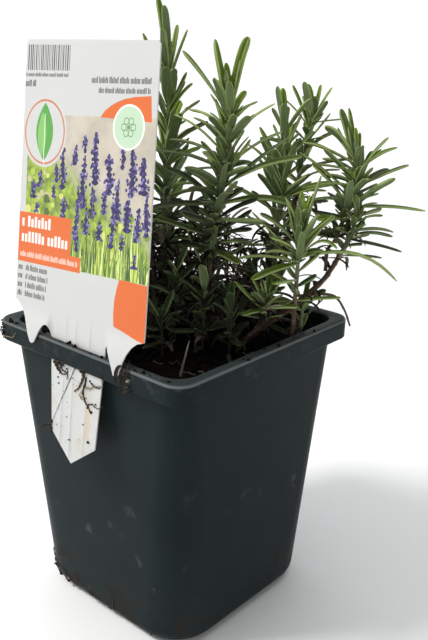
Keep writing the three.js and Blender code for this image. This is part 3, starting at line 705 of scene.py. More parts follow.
# %% Woody stems
WOODY = {
    "main_stem": dict(route=[[10, 2, -15], [12, 2, 4], [13, 2, 14], [14, 2, 23]], ends=(2.6, 2.1)),
    "left_stem": dict(route=[[0, 1, -15], [-5, 2, 3], [-8, 3, 12], [-9, 3, 20]], ends=(2.3, 1.8)),
    "right_stem": dict(
        route=[[15, 9, -16], [26, 16, -2], [36, 22, 8], [40, 31, 15], [41, 35, 19], [42, 37, 22.5]],
        ends=(2.5, 1.6),
    ),
    "back_stem": dict(route=[[9, 13, -16], [12, 23, 2], [16, 31, 14], [17, 32, 21]], ends=(2.4, 1.8)),
    "rear_stem": dict(route=[[5, 18, -16], [9, 32, 4], [14, 43, 22], [16, 46, 34]], ends=(2.2, 1.5)),
    "low_branch": dict(route=[[21, 5, -16], [25, 7, -5], [30, 9, 1], [32.5, 9, 4.5]], ends=(1.7, 1.4)),
    "outer_stem": dict(
        route=[[35, 19, -16], [37, 19, -6], [38.6, 17.5, 3], [39, 17, 9]],
        ends=(1.7, 1.6),
    ),
    "far_left_stem": dict(route=[[-7, -3, -15], [-14, -7, 0], [-18, -8, 12]], ends=(2.0, 1.6)),
    "far_back_stem": dict(route=[[-7, 12, -15], [-15, 15, 0], [-20, 18, 12]], ends=(2.0, 1.6)),
}


def end_of(name):
    """A shoot that carries on from a woody stem starts one fit beyond the stem's end."""
    line = Line(WOODY[name]["route"])
    return list(line.at(1) + line.heading(1) * FIT - (0, 0, RIM_HEIGHT))


def beside(name, share, heading, thick):
    """A side piece starts one fit off a stem's bark."""
    stem = WOODY[name]
    first, last = stem["ends"]
    reach = (first + (last - first) * share) / 2 + thick / 2 + FIT
    at = Line(stem["route"]).share(share)
    turn = math.radians(heading)
    return [at[0] + reach * math.cos(turn), at[1] + reach * math.sin(turn), at[2] - RIM_HEIGHT]


WOODY["right_fork"] = dict(
    route=[beside("right_stem", 0.9, 170, 1.3), [38.4, 35.6, 25], [40, 37, 27.5]],
    ends=(1.3, 1.2),
)
WOODY["dead_twig"] = dict(
    route=[beside("right_stem", 0.72, 350, 1), [43, 34.6, 9.6], [45, 38.6, 4.2], [46.8, 40.4, -2]],
    ends=(1, 0.7),
)
print(len(WOODY), "woody stems")
# %% Tall leafy shoots
# each row of reach: place on the stem, heading, rise, length and width of one leaf
SHOOTS = {
    "tall_front_shoot": dict(
        route=[end_of("main_stem"), [14, 2, 32], [16, 4, 44], [18, 5, 56], [18, 6, 72]],
        reach=[
            [1, 100, 75, 27, 3.4], [1, 195, 75, 25, 3.6], [0.98, 222, 57, 28, 3.2],
            [0.96, 270, 62, 18, 4], [0.96, 100, 47, 13, 2.4], [0.94, 90, 30, 15, 2.4],
            [0.84, 62, 50, 14, 2.6], [0.86, 0, 50, 12, 3], [0.9, 185, 26, 18, 2.6],
            [0.87, 202, 32, 14, 2.4], [0.83, 270, 40, 15, 3], [0.87, 255, 50, 12, 2.6],
            [0.72, 42, 36, 22, 2.6], [0.76, 214, 26, 21, 2.8], [0.7, 230, 20, 25, 3],
            [0.72, 85, 5, 14, 3], [0.65, 345, 28, 14, 3.6], [0.6, 38, 25, 28, 2.8],
            [0.58, 270, 31, 19, 3.6], [0.52, 262, 23, 16, 3.2], [0.47, 222, 4, 23, 3.4],
            [0.46, 37, 13, 25, 3.2], [0.37, 5, 9, 20, 4.4], [0.35, 270, 21, 17, 4.6],
            [0.2, 308, 40, 12, 4], [0.12, 248, 15, 11, 2.8], [0.12, 3, -4, 13, 2.8],
            [0.2, 20, 27, 17, 3.4], [0.17, 64, 4, 16, 2.2], [0.13, 285, 8, 9, 2.4],
            [0.5, 130, 25, 20, 3], [0.62, 150, 30, 20, 3], [0.3, 170, 12, 18, 3],
            [0.26, 115, 10, 18, 3],
        ],
        droop=0.08,
    ),
    "tall_back_shoot": dict(
        route=[end_of("left_stem"), [-8, 3, 40], [-8, 4, 57], [-8, 4, 84]],
        reach=[
            [1, 165, 80, 24, 2.8], [1, 320, 81, 24, 2.6], [0.98, 285, 74, 16, 2.8],
            [0.97, 98, 68, 20, 2.2], [0.9, 181, 64, 23, 2], [0.87, 305, 66, 14, 3.6],
            [0.87, 350, 72, 13, 3], [0.83, 80, 60, 17, 1.8], [0.82, 57, 55, 15, 1.8],
            [0.77, 53, 42, 15, 2.4], [0.68, 42, 36, 17, 2.4], [0.62, 338, 66, 20, 4],
            [0.58, 68, 28, 14, 2.4], [0.62, 240, 62, 15, 2.6], [0.5, 240, 50, 13, 2.6],
            [0.36, 8, 24, 13, 2.8], [0.4, 72, 16, 11, 2.4], [0.42, 250, 50, 12, 2.6],
        ],
        pairs=6,
        start=0.08,
        stop=0.9,
        turn=20,
        low=20,
        high=62,
        length=14,
        width=2.4,
        droop=0.06,
    ),
    "bright_tuft": dict(
        route=[end_of("back_stem"), [19, 33, 35], [19, 34, 45], [19, 34, 64]],
        reach=[
            [1, 222, 78, 15, 3.4], [1, 150, 77, 15, 3.2], [0.75, 200, 61, 18, 2.6],
            [0.68, 242, 63, 20, 2.8], [0.75, 295, 73, 14, 3], [0.62, 272, 60, 16, 2.8],
            [0.6, 241, 54, 16, 2.6], [0.68, 72, 67, 15, 2.8], [0.65, 343, 75, 18, 3],
            [0.45, 254, 53, 16, 2.8], [0.45, 190, 60, 15, 2.6], [0.5, 280, 50, 14, 2.8],
            [0.54, 40, 30, 12, 2.8], [0.54, 10, 44, 13, 3], [0.9, 300, 74, 16, 3],
            [0.85, 30, 70, 16, 3], [0.8, 110, 62, 16, 2.8], [0.35, 120, 45, 15, 2.8],
            [0.3, 220, 45, 14, 2.8], [0.25, 300, 40, 13, 2.8],
        ],
        droop=0.02,
    ),
    "rear_shoot": dict(
        route=[end_of("rear_stem"), [17, 47, 50], [18, 49, 59], [19, 50, 66]],
        reach=[
            [1, 260, 71, 15, 3.8], [1, 158, 76, 14, 4], [0.82, 197, 67, 18, 2],
            [1, 90, 67, 14, 1.8], [0.97, 23, 65, 15, 2.8], [0.93, 356, 55, 12, 2.2],
            [0.92, 177, 52, 12, 1.6], [0.92, 148, 52, 14, 2], [0.67, 5, -12, 10, 2.4],
            [0.97, 27, 10, 12, 1.6], [0.5, 60, 35, 14, 2.4], [0.45, 200, 30, 12, 2.4],
            [0.35, 110, 30, 14, 2.6], [0.7, 110, 40, 15, 2.4], [0.2, 160, 20, 13, 2.6],
            [0.25, 330, 30, 12, 2.4],
        ],
        droop=0.04,
    ),
}
print(len(SHOOTS), "tall shoots")

# %% Lower and far shoots
SHOOTS |= {
    "right_shoot": dict(
        route=[end_of("right_fork"), [42, 39, 36], [43, 41, 42], [44, 43, 48], [44, 42, 54]],
        reach=[
            [1, 212, 54, 20, 4], [1, 181, 67, 22, 3], [1, 150, 68, 22, 2],
            [0.81, 302, 70, 15, 3.2], [0.75, 87, 59, 14, 2], [0.69, 57, 31, 14, 3.4],
            [0.35, 26, 44, 21, 4], [0.7, 42, 32, 20, 2.4], [0.95, 80, 24, 20, 2.2],
            [0.41, 38, 4, 26, 2.4], [1, 222, 31, 22, 2.4], [0.9, 200, 24, 14, 3],
            [0.9, 230, 18, 15, 2], [0.72, 222, 21, 13, 2.8], [0.69, 229, 7, 19, 2.8],
            [0.5, 214, 4, 15, 3], [0.25, 264, 15, 15, 3.4], [0.06, 235, 22, 11, 2],
            [0.06, 183, 34, 9, 2], [0.35, 280, 42, 13, 3.2], [0.45, 120, 25, 16, 2.8],
            [0.2, 110, 12, 15, 2.8], [0.6, 330, 40, 13, 2.8], [0.3, 150, 30, 15, 2.6],
        ],
        droop=0.1,
    ),
    "right_side_shoot": dict(
        route=[end_of("right_stem"), [46, 37, 30], [47.5, 39, 38]],
        reach=[
            [0.5, 36, -6, 18, 3], [0.68, 42, 8, 14, 2.6], [0.6, 21, 8, 14, 2.6],
            [0.85, 60, 20, 10, 2], [0.98, 19, 28, 9, 2.6], [0.23, 278, 52, 7, 2.4],
            [1, 222, 73, 8, 2], [1, 108, 40, 8, 2],
        ],
        droop=0.08,
    ),
    "outer_shoot": dict(
        route=[end_of("outer_stem"), [39.4, 17, 18], [39.6, 17, 26], [40, 17, 33], [40.4, 17, 39]],
        reach=[
            [0.55, 198, 77, 22, 2.4], [0.72, 286, 71, 14, 2], [0.9, 137, 70, 9, 2],
            [0.66, 42, 79, 19, 2.6], [0.62, 240, 48, 20, 2.8], [0.55, 267, 34, 17, 2.4],
            [0.5, 250, 23, 14, 2.4], [0.46, 228, 16, 21, 2.8], [0.44, 247, -4, 18, 3],
            [0.5, 42, 14, 34, 3.2], [0.54, 76, 44, 13, 2.2], [0.5, 83, 8, 12, 4],
            [0.6, 352, 65, 16, 4], [0.95, 60, 78, 10, 2], [0.95, 260, 78, 10, 2],
            [0.58, 130, 30, 15, 2.8],
        ],
        droop=0.1,
    ),
    "low_rosette": dict(
        route=[end_of("low_branch"), [33, 9, 9], [33.6, 9, 13]],
        reach=[
            [0.85, 222, 80, 8, 2.8], [0.62, 260, 49, 10, 3.2], [0.7, 90, 57, 10, 2.6],
            [0.5, 32, 13, 11, 3], [0.4, 255, 4, 9, 2.2], [0.6, 350, 43, 10, 2.4],
            [0.5, 160, 25, 10, 2.6], [0.95, 120, 60, 8, 2.4],
        ],
        droop=0.08,
    ),
    "rim_rosette": dict(
        route=[[36.6, 24.2, -5.5], [37, 24.6, 3], [37.2, 24.4, 8]],
        reach=[
            [0.8, 61, 33, 12, 2.6], [0.95, 222, 66, 8, 2.6], [0.7, 210, 25, 11, 3.6],
            [0.95, 112, 45, 8, 2.4], [0.6, 240, 12, 9, 3.6], [0.9, 20, 50, 9, 2.4],
        ],
        droop=0.12,
    ),
    "far_left_shoot": dict(
        route=[end_of("far_left_stem"), [-20, -9, 24], [-21, -9, 40], [-20, -9, 52]],
        pairs=7,
        turn=35,
        low=12,
        high=72,
        length=19,
        width=3,
        droop=0.08,
    ),
    "far_back_shoot": dict(
        route=[end_of("far_back_stem"), [-23, 20, 24], [-25, 21, 40], [-25, 22, 56]],
        pairs=7,
        turn=70,
        low=12,
        high=74,
        length=20,
        width=3,
        droop=0.08,
    ),
}
print(len(SHOOTS), "leafy shoots")

# %% [markdown]
# Short sprigs fill the shade low in the plant. Some are green, and some are old shoots that have
# died back and curled. They all follow one rule, so a row only says where each one stands, where it
# leans and how high it grows.

# %% Short sprigs
# each sprig: its foot, its tip and its height above the rim
SPRIGS = {
    "dry_sprig_1": ((-3, -8), (-4, -9), 34),
    "dry_sprig_2": ((-2, 9), (-1, 8), 36),
    "dry_sprig_3": ((4, 6), (4, 7), 30),
    "dry_sprig_4": ((17, 14), (19, 14), 20),
    "dry_sprig_5": ((-13, 3), (-15, 2), 26),
    "dry_sprig_6": ((2, 24), (1, 27), 30),
    "green_sprig_1": ((6, -7), (7, -7), 20),
    "green_sprig_2": ((-1, -14), (-2, -14), 12),
    "green_sprig_3": ((17, -5), (18, -5), 15),
    "green_sprig_4": ((10, -17), (10, -18), 6),
    "green_sprig_5": ((25, 0), (26, -1), 8),
    "green_sprig_6": ((23, 22), (25, 23), 14),
    "green_sprig_7": ((-6, 24), (-8, 27), 34),
    "green_sprig_8": ((-18, -16), (-21, -18), 16),
}
for number, (name, (foot, tip, top)) in enumerate(SPRIGS.items()):
    dry = name.startswith("dry")
    ground = float(soil_top(*foot)) - RIM_HEIGHT
    middle = [(foot[0] + tip[0]) / 2 + 0.6, (foot[1] + tip[1]) / 2, top / 2]
    SHOOTS[name] = dict(
        route=[[*foot, ground - 5], middle, [*tip, top]],
        pairs=math.floor(2 + top / 10 + 0.5),
        start=0.3,
        turn=50 * number,
        low=-10 if dry else 15,
        high=40 if dry else 62,
        length=12 if dry else 11,
        width=1.3 if dry else 2.8,
        droop=0.25 if dry else 0.08,
        thick=1.2,
        dry=dry,
    )
print(len(SHOOTS), "shoots and sprigs")

# %% [markdown]
# ## Growing the leaves
#
# Placing some hundreds of leaves by hand would take days, and scattering them by chance would push
# them through each other. Growing them is the middle way: each leaf is tried in its direction, its
# room is tested against everything grown before, and only then is it kept.

# %% A leaf and its room
LEAF_CLEARANCE = 0.5
THINNEST_LEAF = 0.5
RIM_CLEARANCE = 0.6
TAG_CLEARANCE = 1.5
TAG_FOOT_WIDTH = 63.0
TAG_PASSING = 4.9
WATER_X, WATER_Y, WATER_HALF, WATER_ABOVE = -30, 30, 8, 10
SHOOT_THICKNESS = 1.7
SHOOT_TAPER = 0.55


def half_width(width, t):
    """A narrow foot, near parallel sides and a blunt tip."""
    t = np.asarray(t, float)
    foot = np.minimum(1, 0.45 + 1.5 * t)
    tip = np.where(t > 0.8, np.sqrt(np.maximum(0, 1 - ((t - 0.8) / 0.2) ** 2)), 1)
    return width / 2 * foot * tip


def leaf_points(leaf, t):
    """The leaf's middle line: out along its heading and rise, drooping more towards the tip."""
    t = np.asarray(t, float)
    reach = leaf["length"] * t
    out = reach * math.cos(leaf["rise"])
    x = leaf["foot"][0] + out * math.cos(leaf["heading"])
    y = leaf["foot"][1] + out * math.sin(leaf["heading"])
    z = leaf["foot"][2] + reach * math.sin(leaf["rise"]) - leaf["droop"] * reach * t
    return np.stack([x, y, z], axis=-1)


def tag_y(z):
    return SLOT_Y + math.tan(TAG_TILT) * (z - RIM_HEIGHT)


SAMPLES = np.arange(2, 15) / 14
CLAIMS_PER_STEM = 25


def clear_of_fixtures(leaf):
    """Whether a leaf keeps clear of the tag, the pot, the compost and the watering corner."""
    at = leaf_points(leaf, SAMPLES)
    x, y, z = at.T
    radius = np.maximum(THINNEST_LEAF, half_width(leaf["width"], SAMPLES))
    past_tag = x > TAG_OFFSET + TAG_FOOT_WIDTH / 2 + TAG_PASSING
    inside = np.maximum(abs(x), abs(y)) < WALL_TOP - WALL - radius - RIM_CLEARANCE
    keep_off = WATER_HALF + radius + LEAF_CLEARANCE
    over_water = np.maximum(abs(x - WATER_X), abs(y - WATER_Y)) < keep_off
    hits = (y < tag_y(z) + radius + TAG_CLEARANCE) & ~past_tag
    hits |= (z < RIM_HEIGHT + radius + RIM_CLEARANCE) & ~inside
    hits |= inside & (z < soil_top(x, y) + radius + LEAF_CLEARANCE)
    hits |= over_water & (z < RIM_HEIGHT + WATER_ABOVE)
    return not hits.any(), at, radius


print("each leaf is tested at", len(SAMPLES), "places along it")


# %% Trying directions
taken = {"at": [], "radius": [], "owner": []}


def claim(owner, line, ends):
    last = CLAIMS_PER_STEM - 1
    for k in range(CLAIMS_PER_STEM):
        taken["at"].append(line.share(k / last))
        taken["radius"].append((ends[0] + (ends[1] - ends[0]) * k / last) / 2)
        taken["owner"].append(owner)


def shoot_ends(shoot):
    thick = shoot.get("thick", SHOOT_THICKNESS)
    return thick, thick * SHOOT_TAPER


def grow(leaf, owner, turns):
    """The leaf as it finds room, or None."""
    places = np.array(taken["at"])
    sizes = np.array(taken["radius"])
    others = np.array([name != owner for name in taken["owner"]])
    places, sizes = places[others], sizes[others]
    for shorter in (1, 0.8):
        for turn in turns:
            heading = leaf["heading"] + math.radians(turn)
            tried = dict(leaf, heading=heading, length=leaf["length"] * shorter)
            free, at, radius = clear_of_fixtures(tried)
            if not free:
                continue
            gaps = np.linalg.norm(at[:, None] - places[None], axis=2) - radius[:, None] - sizes[None]
            if (gaps < LEAF_CLEARANCE).any():
                continue
            taken["at"] += list(at)
            taken["radius"] += list(radius)
            taken["owner"] += [owner] * len(at)
            return tried
    return None


ASIDE = (0, 8, -8, 16, -16, 24, -24)
WIDE_ASIDE = (0, 15, -15, 30, -30, 45, -45)


def grow_shoot(name, shoot, number):
    """The leaves of one shoot, in the order in which they were packed."""
    line = Line(shoot["route"])
    leaves = []

    def try_leaf(station, heading, rise, length, width, turns):
        leaf = dict(
            foot=line.at(station),
            station=station,
            heading=math.radians(heading),
            rise=math.radians(rise),
            length=length,
            width=width,
            droop=shoot["droop"],
        )
        grown = grow(leaf, name, turns)
        if grown:
            leaves.append(grown)

    for row in shoot.get("reach", []):
        try_leaf(*row, ASIDE)
    start, stop = shoot.get("start", 0.12), shoot.get("stop", 1)
    pairs = shoot.get("pairs", 0)
    for i in range(pairs):
        share = i / (pairs - 1)
        rise = shoot["low"] + (shoot["high"] - shoot["low"]) * share
        for side in (0, 1):
            seed = number * 40 + i * 2 + side
            heading = shoot["turn"] + 90 * i + 180 * side + 30 * (chance(seed, 1) - 0.5)
            tilt = rise + 16 * (chance(seed, 2) - 0.5)
            length = shoot["length"] * (0.78 + 0.4 * chance(seed, 3))
            width = shoot["width"] * (0.85 + 0.3 * chance(seed, 4))
            try_leaf(start + (stop - start) * share, heading, tilt, length, width, WIDE_ASIDE)
    return leaves


for name, stem in WOODY.items():
    claim(name, Line(stem["route"]), stem["ends"])
for name, shoot in SHOOTS.items():
    claim(name, Line(shoot["route"]), shoot_ends(shoot))
leaves_of = {}
for number, (name, shoot) in enumerate(SHOOTS.items()):
    leaves_of[name] = grow_shoot(name, shoot, number)
print("leaves grown:", sum(map(len, leaves_of.values())))

# %% [markdown]
# ## One lavender leaf
#
# A lavender leaf is a narrow strip with a blunt end. Its edges roll under, a groove runs down the
# middle of the top, and the underside is paler. Seen close, the rolled edge is what tells it from a
# blade of grass. So each leaf is a closed body: sixteen points round its section, thirteen sections
# along it, narrowing at the foot and the tip.

# %% Leaf sections
LEAF_STATIONS = np.array([0, 0.05, 0.12, 0.22, 0.34, 0.47, 0.6, 0.72, 0.81, 0.88, 0.93, 0.97, 0.995])
LEAF_ACROSS = np.array(
    [1, 0.93, 0.62, 0.22, 0, -0.22, -0.62, -0.93, -1]
    + [-0.86, -0.6, -0.2, 0, 0.2, 0.6, 0.86]
)
LEAF_ABOVE = np.array(
    [-0.16, 0.1, 0.27, 0.12, -0.1, 0.12, 0.27, 0.1, -0.16]
    + [-0.38, -0.24, -0.12, -0.26, -0.12, -0.24, -0.38]
)
LEAF_UNDER = np.array([0.4] + [0.0] * 7 + [0.4] + [1.0] * 7)
DRY_ACROSS = np.array([1, 0, -1, -1, 0, 1])
DRY_ABOVE = np.array([0.45, 0.0, 0.45, 0.2, -0.3, 0.2])


def sections(centre, across, above, half, profile_across, profile_above):
    """Rings of a leaf: its profile, as wide as half, at each point of its middle line."""
    side = profile_across[None, :, None] * across[:, None, :]
    lift = profile_above[None, :, None] * above[:, None, :]
    return centre[:, None, :] + half[:, None, None] * (side + lift)


def blade_width(width, t):
    foot = np.minimum(1, 0.4 + 2.2 * t)
    tip = np.where(t > 0.82, np.sqrt(np.maximum(0, 1 - ((t - 0.82) / 0.185) ** 2)), 1)
    return width / 2 * foot * tip * (0.88 + 0.12 * np.sin(math.pi * t))


def add_leaf(body, leaf, seed, tint, finish=0):
    """A green leaf along its middle line, with a little sway and twist of its own."""
    t = LEAF_STATIONS
    level = np.array((-math.sin(leaf["heading"]), math.cos(leaf["heading"]), 0.0))
    centre = leaf_points(leaf, t)
    centre = centre + (spread(seed, 5, -0.08, 0.08) * leaf["length"] * t**2)[:, None] * level
    bow = spread(seed, 11, -0.02, 0.08) * np.sin(math.pi * t)
    bow -= leaf.get("sag", spread(seed, 12, -0.03, 0.13 if leaf["length"] > 19 else 0.07)) * t**3
    centre[:, 2] += bow * leaf["length"]
    along = np.gradient(centre, axis=0)
    along /= np.linalg.norm(along, axis=1)[:, None]
    across = level - along * (along @ level)[:, None]
    across /= np.linalg.norm(across, axis=1)[:, None]
    above = np.cross(along, across)
    twist = (spread(seed, 6, -0.5, 0.5) * t + spread(seed, 7, -0.25, 0.25))[:, None]
    turned = across * np.cos(twist) + above * np.sin(twist)
    above = np.cross(along, turned)
    rings = sections(centre, turned, above, blade_width(leaf["width"], t), LEAF_ACROSS, LEAF_ABOVE)
    sides = len(LEAF_ACROSS)
    body.rings(
        rings,
        finish,
        along=np.repeat(t, sides),
        across=np.tile(LEAF_ACROSS, len(t)),
        under=np.tile(LEAF_UNDER, len(t)),
        tint=tint,
    )


def add_curled_leaf(body, foot, heading, rise, length, width, curl, bend, seed, finish=0, tint=None):
    """A dried leaf: the same strip, folded along its middle, with its line curling down and aside."""
    steps = 9
    share = np.linspace(0, 1, steps)
    rises = rise - curl * share
    headings = heading + bend * share
    step = length / (steps - 1)
    moves = step * np.stack(
        [np.cos(rises) * np.cos(headings), np.cos(rises) * np.sin(headings), np.sin(rises)], axis=-1
    )
    centre = np.asarray(foot) + np.concatenate([np.zeros((1, 3)), np.cumsum(moves[:-1], axis=0)])
    across = np.stack([-np.sin(headings), np.cos(headings), np.zeros(steps)], axis=-1)
    above = np.cross(moves / step, across)
    twist = (spread(seed, 8, -1.2, 1.2) * share)[:, None]
    turned = across * np.cos(twist) + above * np.sin(twist)
    above = np.cross(moves / step, turned)
    half = width / 2 * np.minimum(1, 0.5 + 2 * share) * np.sqrt(np.maximum(0.02, 1 - share**4))
    rings = sections(centre, turned, above, half, DRY_ACROSS, DRY_ABOVE)
    body.rings(rings, finish, along=np.repeat(share, 6), tint=chance(seed, 9) if tint is None else tint)
    return centre


print("leaf sections ready")

# %% [markdown]
# ## Leaf and stem finishes
#
# Green on a lavender leaf is never one green. Old leaves are dark, and leaves low in the plant are
# darkened further as painted shade. Young ones at the tips are yellow-green, the edges and the underside
# are pale with fine felt, the rolled edges carry a painted highlight, the groove down the middle is
# darkened as painted shade, and every leaf pales towards its foot. The marks left on the mesh say where
# a point lies on its leaf, so the finish can follow the leaf and not the world.


# %% Green leaf finish
def leaf_green_finish():
    finish = Finish("leaf_green", Specular_IOR_Level=0.22, Subsurface_Weight=0.06, Subsurface_Scale=0.4)
    finish.shader.inputs["Subsurface Radius"].default_value = (0.002, 0.004, 0.001)
    finish.shader.inputs["Sheen Weight"].default_value = 0.04
    finish.shader.inputs["Sheen Roughness"].default_value = 0.5
    finish.shader.inputs["Sheen Tint"].default_value = (0.75, 0.85, 0.7, 1)
    tint, along, under = finish.mark("tint"), finish.mark("along"), finish.mark("under")
    off_middle = finish.math("ABSOLUTE", finish.mark("across"))
    mottle = finish.noise(380, 4, 0.6)
    young = finish.mix(mottle, (0.105, 0.175, 0.010), (0.215, 0.300, 0.024))
    old = finish.mix(mottle, (0.024, 0.044, 0.010), (0.070, 0.104, 0.030))
    # the darkest tone, for a tint near 0, is partly dying leaves and partly painted shade deep in the
    # plant
    spent_and_shaded = finish.mix(mottle, (0.009, 0.014, 0.005), (0.024, 0.034, 0.012))
    top = finish.mix(tint.above(0.19, 0.38), spent_and_shaded, old)
    top = finish.mix(tint.above(0.66, 0.68), top, young)
    felt = finish.mix(mottle, (0.088, 0.128, 0.052), (0.185, 0.235, 0.110))
    # the pale rolled edges are felt, lightened further as a painted highlight
    edge = finish.mix(tint, (0.190, 0.245, 0.120), (0.340, 0.420, 0.130))
    top = finish.mix(off_middle.above(0.82, 0.16) * tint.above(0.22, 0.4) * 0.95, top, edge)
    # painted shade: the groove down the middle of the top is darkened
    top = finish.mix(off_middle.below(0.16, 0.14) * 0.4, top, (0.022, 0.042, 0.008))
    top = finish.mix(finish.noise(90, 3).above(0.62, 0.2) * 0.3, top, felt)
    top = finish.mix(along.below(0.14, 0.2) * tint * 0.4, top, (0.20, 0.27, 0.10))
    top = finish.mix(along.above(0.96, 0.06) * 0.35, top, (0.25, 0.27, 0.06))
    fresh = tint.above(0.2, 0.3) * 0.65 + 0.2
    finish.paint(finish.mix(under * fresh, top, felt))
    finish.gloss(0.30 + 0.22 * mottle + 0.25 * under)
    finish.relief(finish.noise(2600, 2) + finish.noise(900, 3), 0.06, 0.6)
    return finish


def green_stem_finish():
    """Young stems: grey-green felt above, reddish below, with fine ribs."""
    finish = Finish("green_stem", roughness=0.72, Specular_IOR_Level=0.3)
    finish.shader.inputs["Sheen Weight"].default_value = 0.3
    along = finish.mark("along")
    felt = finish.mix(finish.noise(500, 4), (0.10, 0.135, 0.060), (0.235, 0.255, 0.160))
    wood = finish.mix(finish.noise(350, 4), (0.085, 0.050, 0.030), (0.19, 0.125, 0.080))
    finish.paint(finish.mix(along.above(0.32, 0.5), wood, felt))
    finish.relief(finish.noise(1500, 3), 0.12, 0.7)
    return finish


def bark_finish():
    """Older wood: reddish-brown strips that flake along the stem."""
    finish = Finish("bark", roughness=0.85, Specular_IOR_Level=0.25)
    x, y, z = (finish.part_of(finish.place(), axis) for axis in "XYZ")
    strips = finish.noise(700, 5, 0.7, at=finish.vector(x, y, z * 0.18), distortion=0.6)
    colour = finish.mix(strips, (0.034, 0.021, 0.014), (0.145, 0.094, 0.062))
    flakes = finish.noise(420, 4, 0.7).above(0.58, 0.08)
    finish.paint(finish.mix(flakes * 0.6, colour, (0.24, 0.18, 0.13)))
    finish.relief(strips + flakes, 0.35, 0.9)
    return finish


def dried_leaf_finish():
    finish = Finish("dried_leaf", roughness=0.88, Specular_IOR_Level=0.2)
    grain = finish.noise(650, 4, 0.65)
    # the dark tone is near-black: the dead leaves' own colour, darkened further as painted shade for the
    # heart of the plant
    dark = finish.mix(grain, (0.009, 0.006, 0.004), (0.032, 0.023, 0.016))
    pale = finish.mix(grain, (0.085, 0.070, 0.050), (0.20, 0.165, 0.115))
    straw = finish.mix(grain, (0.25, 0.22, 0.16), (0.42, 0.38, 0.29))
    tint = finish.mark("tint")
    aged = finish.mix(tint.above(0.66, 0.5), dark, pale)
    finish.paint(finish.mix(tint.above(0.975, 0.03), aged, straw))
    finish.relief(finish.noise(1300, 3), 0.15, 0.8)
    return finish


leaf_green = leaf_green_finish()
green_stem = green_stem_finish()
bark = bark_finish()
dried_leaf = dried_leaf_finish()
print("finishes:", [m.name for m in bpy.data.materials])

# %% [markdown]
# ## Woody stems
#
# The old stems are thin as matches, a little crooked, with scars where leaves have dropped. A tube
# with a wavering radius reads as wood. Dead leaves still hang on in the shade, and a few old green
# ones stand among them.


# %% Stems
def add_stem(body, line, ends, sides, finish=0, rough=0.08, knot_gap=5.0, knot=0.14):
    """A tapered stem with slight knots, where the leaves sat."""
    length = line.lengths[-1]
    steps = max(10, int(length / 0.9))
    share = np.linspace(0, 1, steps)
    points = np.array([line.share(s) for s in share])
    radii = (ends[0] + (ends[1] - ends[0]) * share) / 2
    radii = radii * (1 + knot * np.maximum(0, np.cos(share * length / knot_gap * 2 * math.pi)) ** 6)
    radii = radii * (1 + rough * np.sin(share * length * 2.1) * np.cos(share * length * 0.8))
    ridges = 1 + 0.07 * np.cos(np.arange(sides) * 4 * 2 * math.pi / sides)
    rings = tube_rings(points, radii, sides, ridges)
    body.rings(rings, finish, along=np.repeat(share, sides), tint=0.5, under=0.0, across=0.5)


def dead_leaves_on(body, line, start, stop, count, seed, finish, reach=(5, 11)):
    for k in range(count):
        station = start + (stop - start) * chance(k, seed)
        leaf = dict(
            foot=line.share(station),
            heading=spread(k, seed + 1, 0, 2 * math.pi),
            rise=spread(k, seed + 2, -0.7, 0.5),
            length=spread(k, seed + 3, *reach),
            width=1.0,
            droop=0.3,
        )
        if not clear_of_fixtures(leaf)[0]:
            continue
        curl, bend = spread(k, seed + 4, 0.4, 2.6), spread(k, seed + 5, -1.6, 1.6)
        width = spread(k, seed + 6, 0.7, 1.7)
        place = (leaf["foot"], leaf["heading"], leaf["rise"] + 0.5, leaf["length"], width)
        add_curled_leaf(body, *place, curl, bend, seed * 60 + k, finish)


def filling_leaves(line, pairs, length, width, droop, seed):
    """Pairs of shorter leaves set crosswise up the stem."""
    leaves = []
    for i in range(pairs):
        station = 0.06 + 0.92 * i / (pairs - 1)
        for side in (0, 1):
            count = i * 2 + side
            leaves.append(
                dict(
                    foot=line.share(station),
                    station=station,
                    heading=math.radians(35 + 90 * i + 180 * side + spread(count, seed, -22, 22)),
                    rise=math.radians(14 + 50 * station + spread(count, seed + 1, -22, 16)),
                    length=length * (0.6 + 1.35 * chance(count, seed + 2) ** 2) * (1 - 0.25 * station),
                    width=width * spread(count, seed + 3, 0.75, 1.05),
                    droop=droop * spread(count, seed + 4, -1.6, 1.4),
                )
            )
    return leaves


# how many dead leaves and pairs of old green ones hang on each stem
DEAD_LEAVES = {"main_stem": 60, "left_stem": 55, "back_stem": 45, "rear_stem": 40, "right_stem": 9}
OLD_LEAVES = {"main_stem": 8, "left_stem": 8, "back_stem": 9, "rear_stem": 9}
for number, (name, stem) in enumerate(WOODY.items()):
    body = Body()
    line = Line(stem["route"])
    add_stem(body, line, stem["ends"], 12)
    dead_leaves_on(body, line, 0.25, 1, DEAD_LEAVES.get(name, 3), 30 + number, 1, (6, 13))
    old_leaves = []
    if name in OLD_LEAVES:
        old_leaves = filling_leaves(line, OLD_LEAVES[name], 17, 2.5, 0.1, 400 + number)
    for k, leaf in enumerate(old_leaves):
        if clear_of_fixtures(leaf)[0]:
            add_leaf(body, leaf, 900 + number * 30 + k, spread(k, 410 + number, 0.05, 0.6), 2)
    body.piece(name + "_wood", "bark", name, bark, dried_leaf, leaf_green, crease=50)
print("woody stems done")

# %% [markdown]
# ## Leafy shoots
#
# A shoot carries opposite pairs of leaves, and in the corner of each leaf sits a tuft of smaller
# ones. Those small leaves give lavender its crowded look, so they are grown as well: two beside
# each large leaf, and more pairs along the stem. They are tested only against the tag, the pot and
# the compost, because small leaves do touch each other.

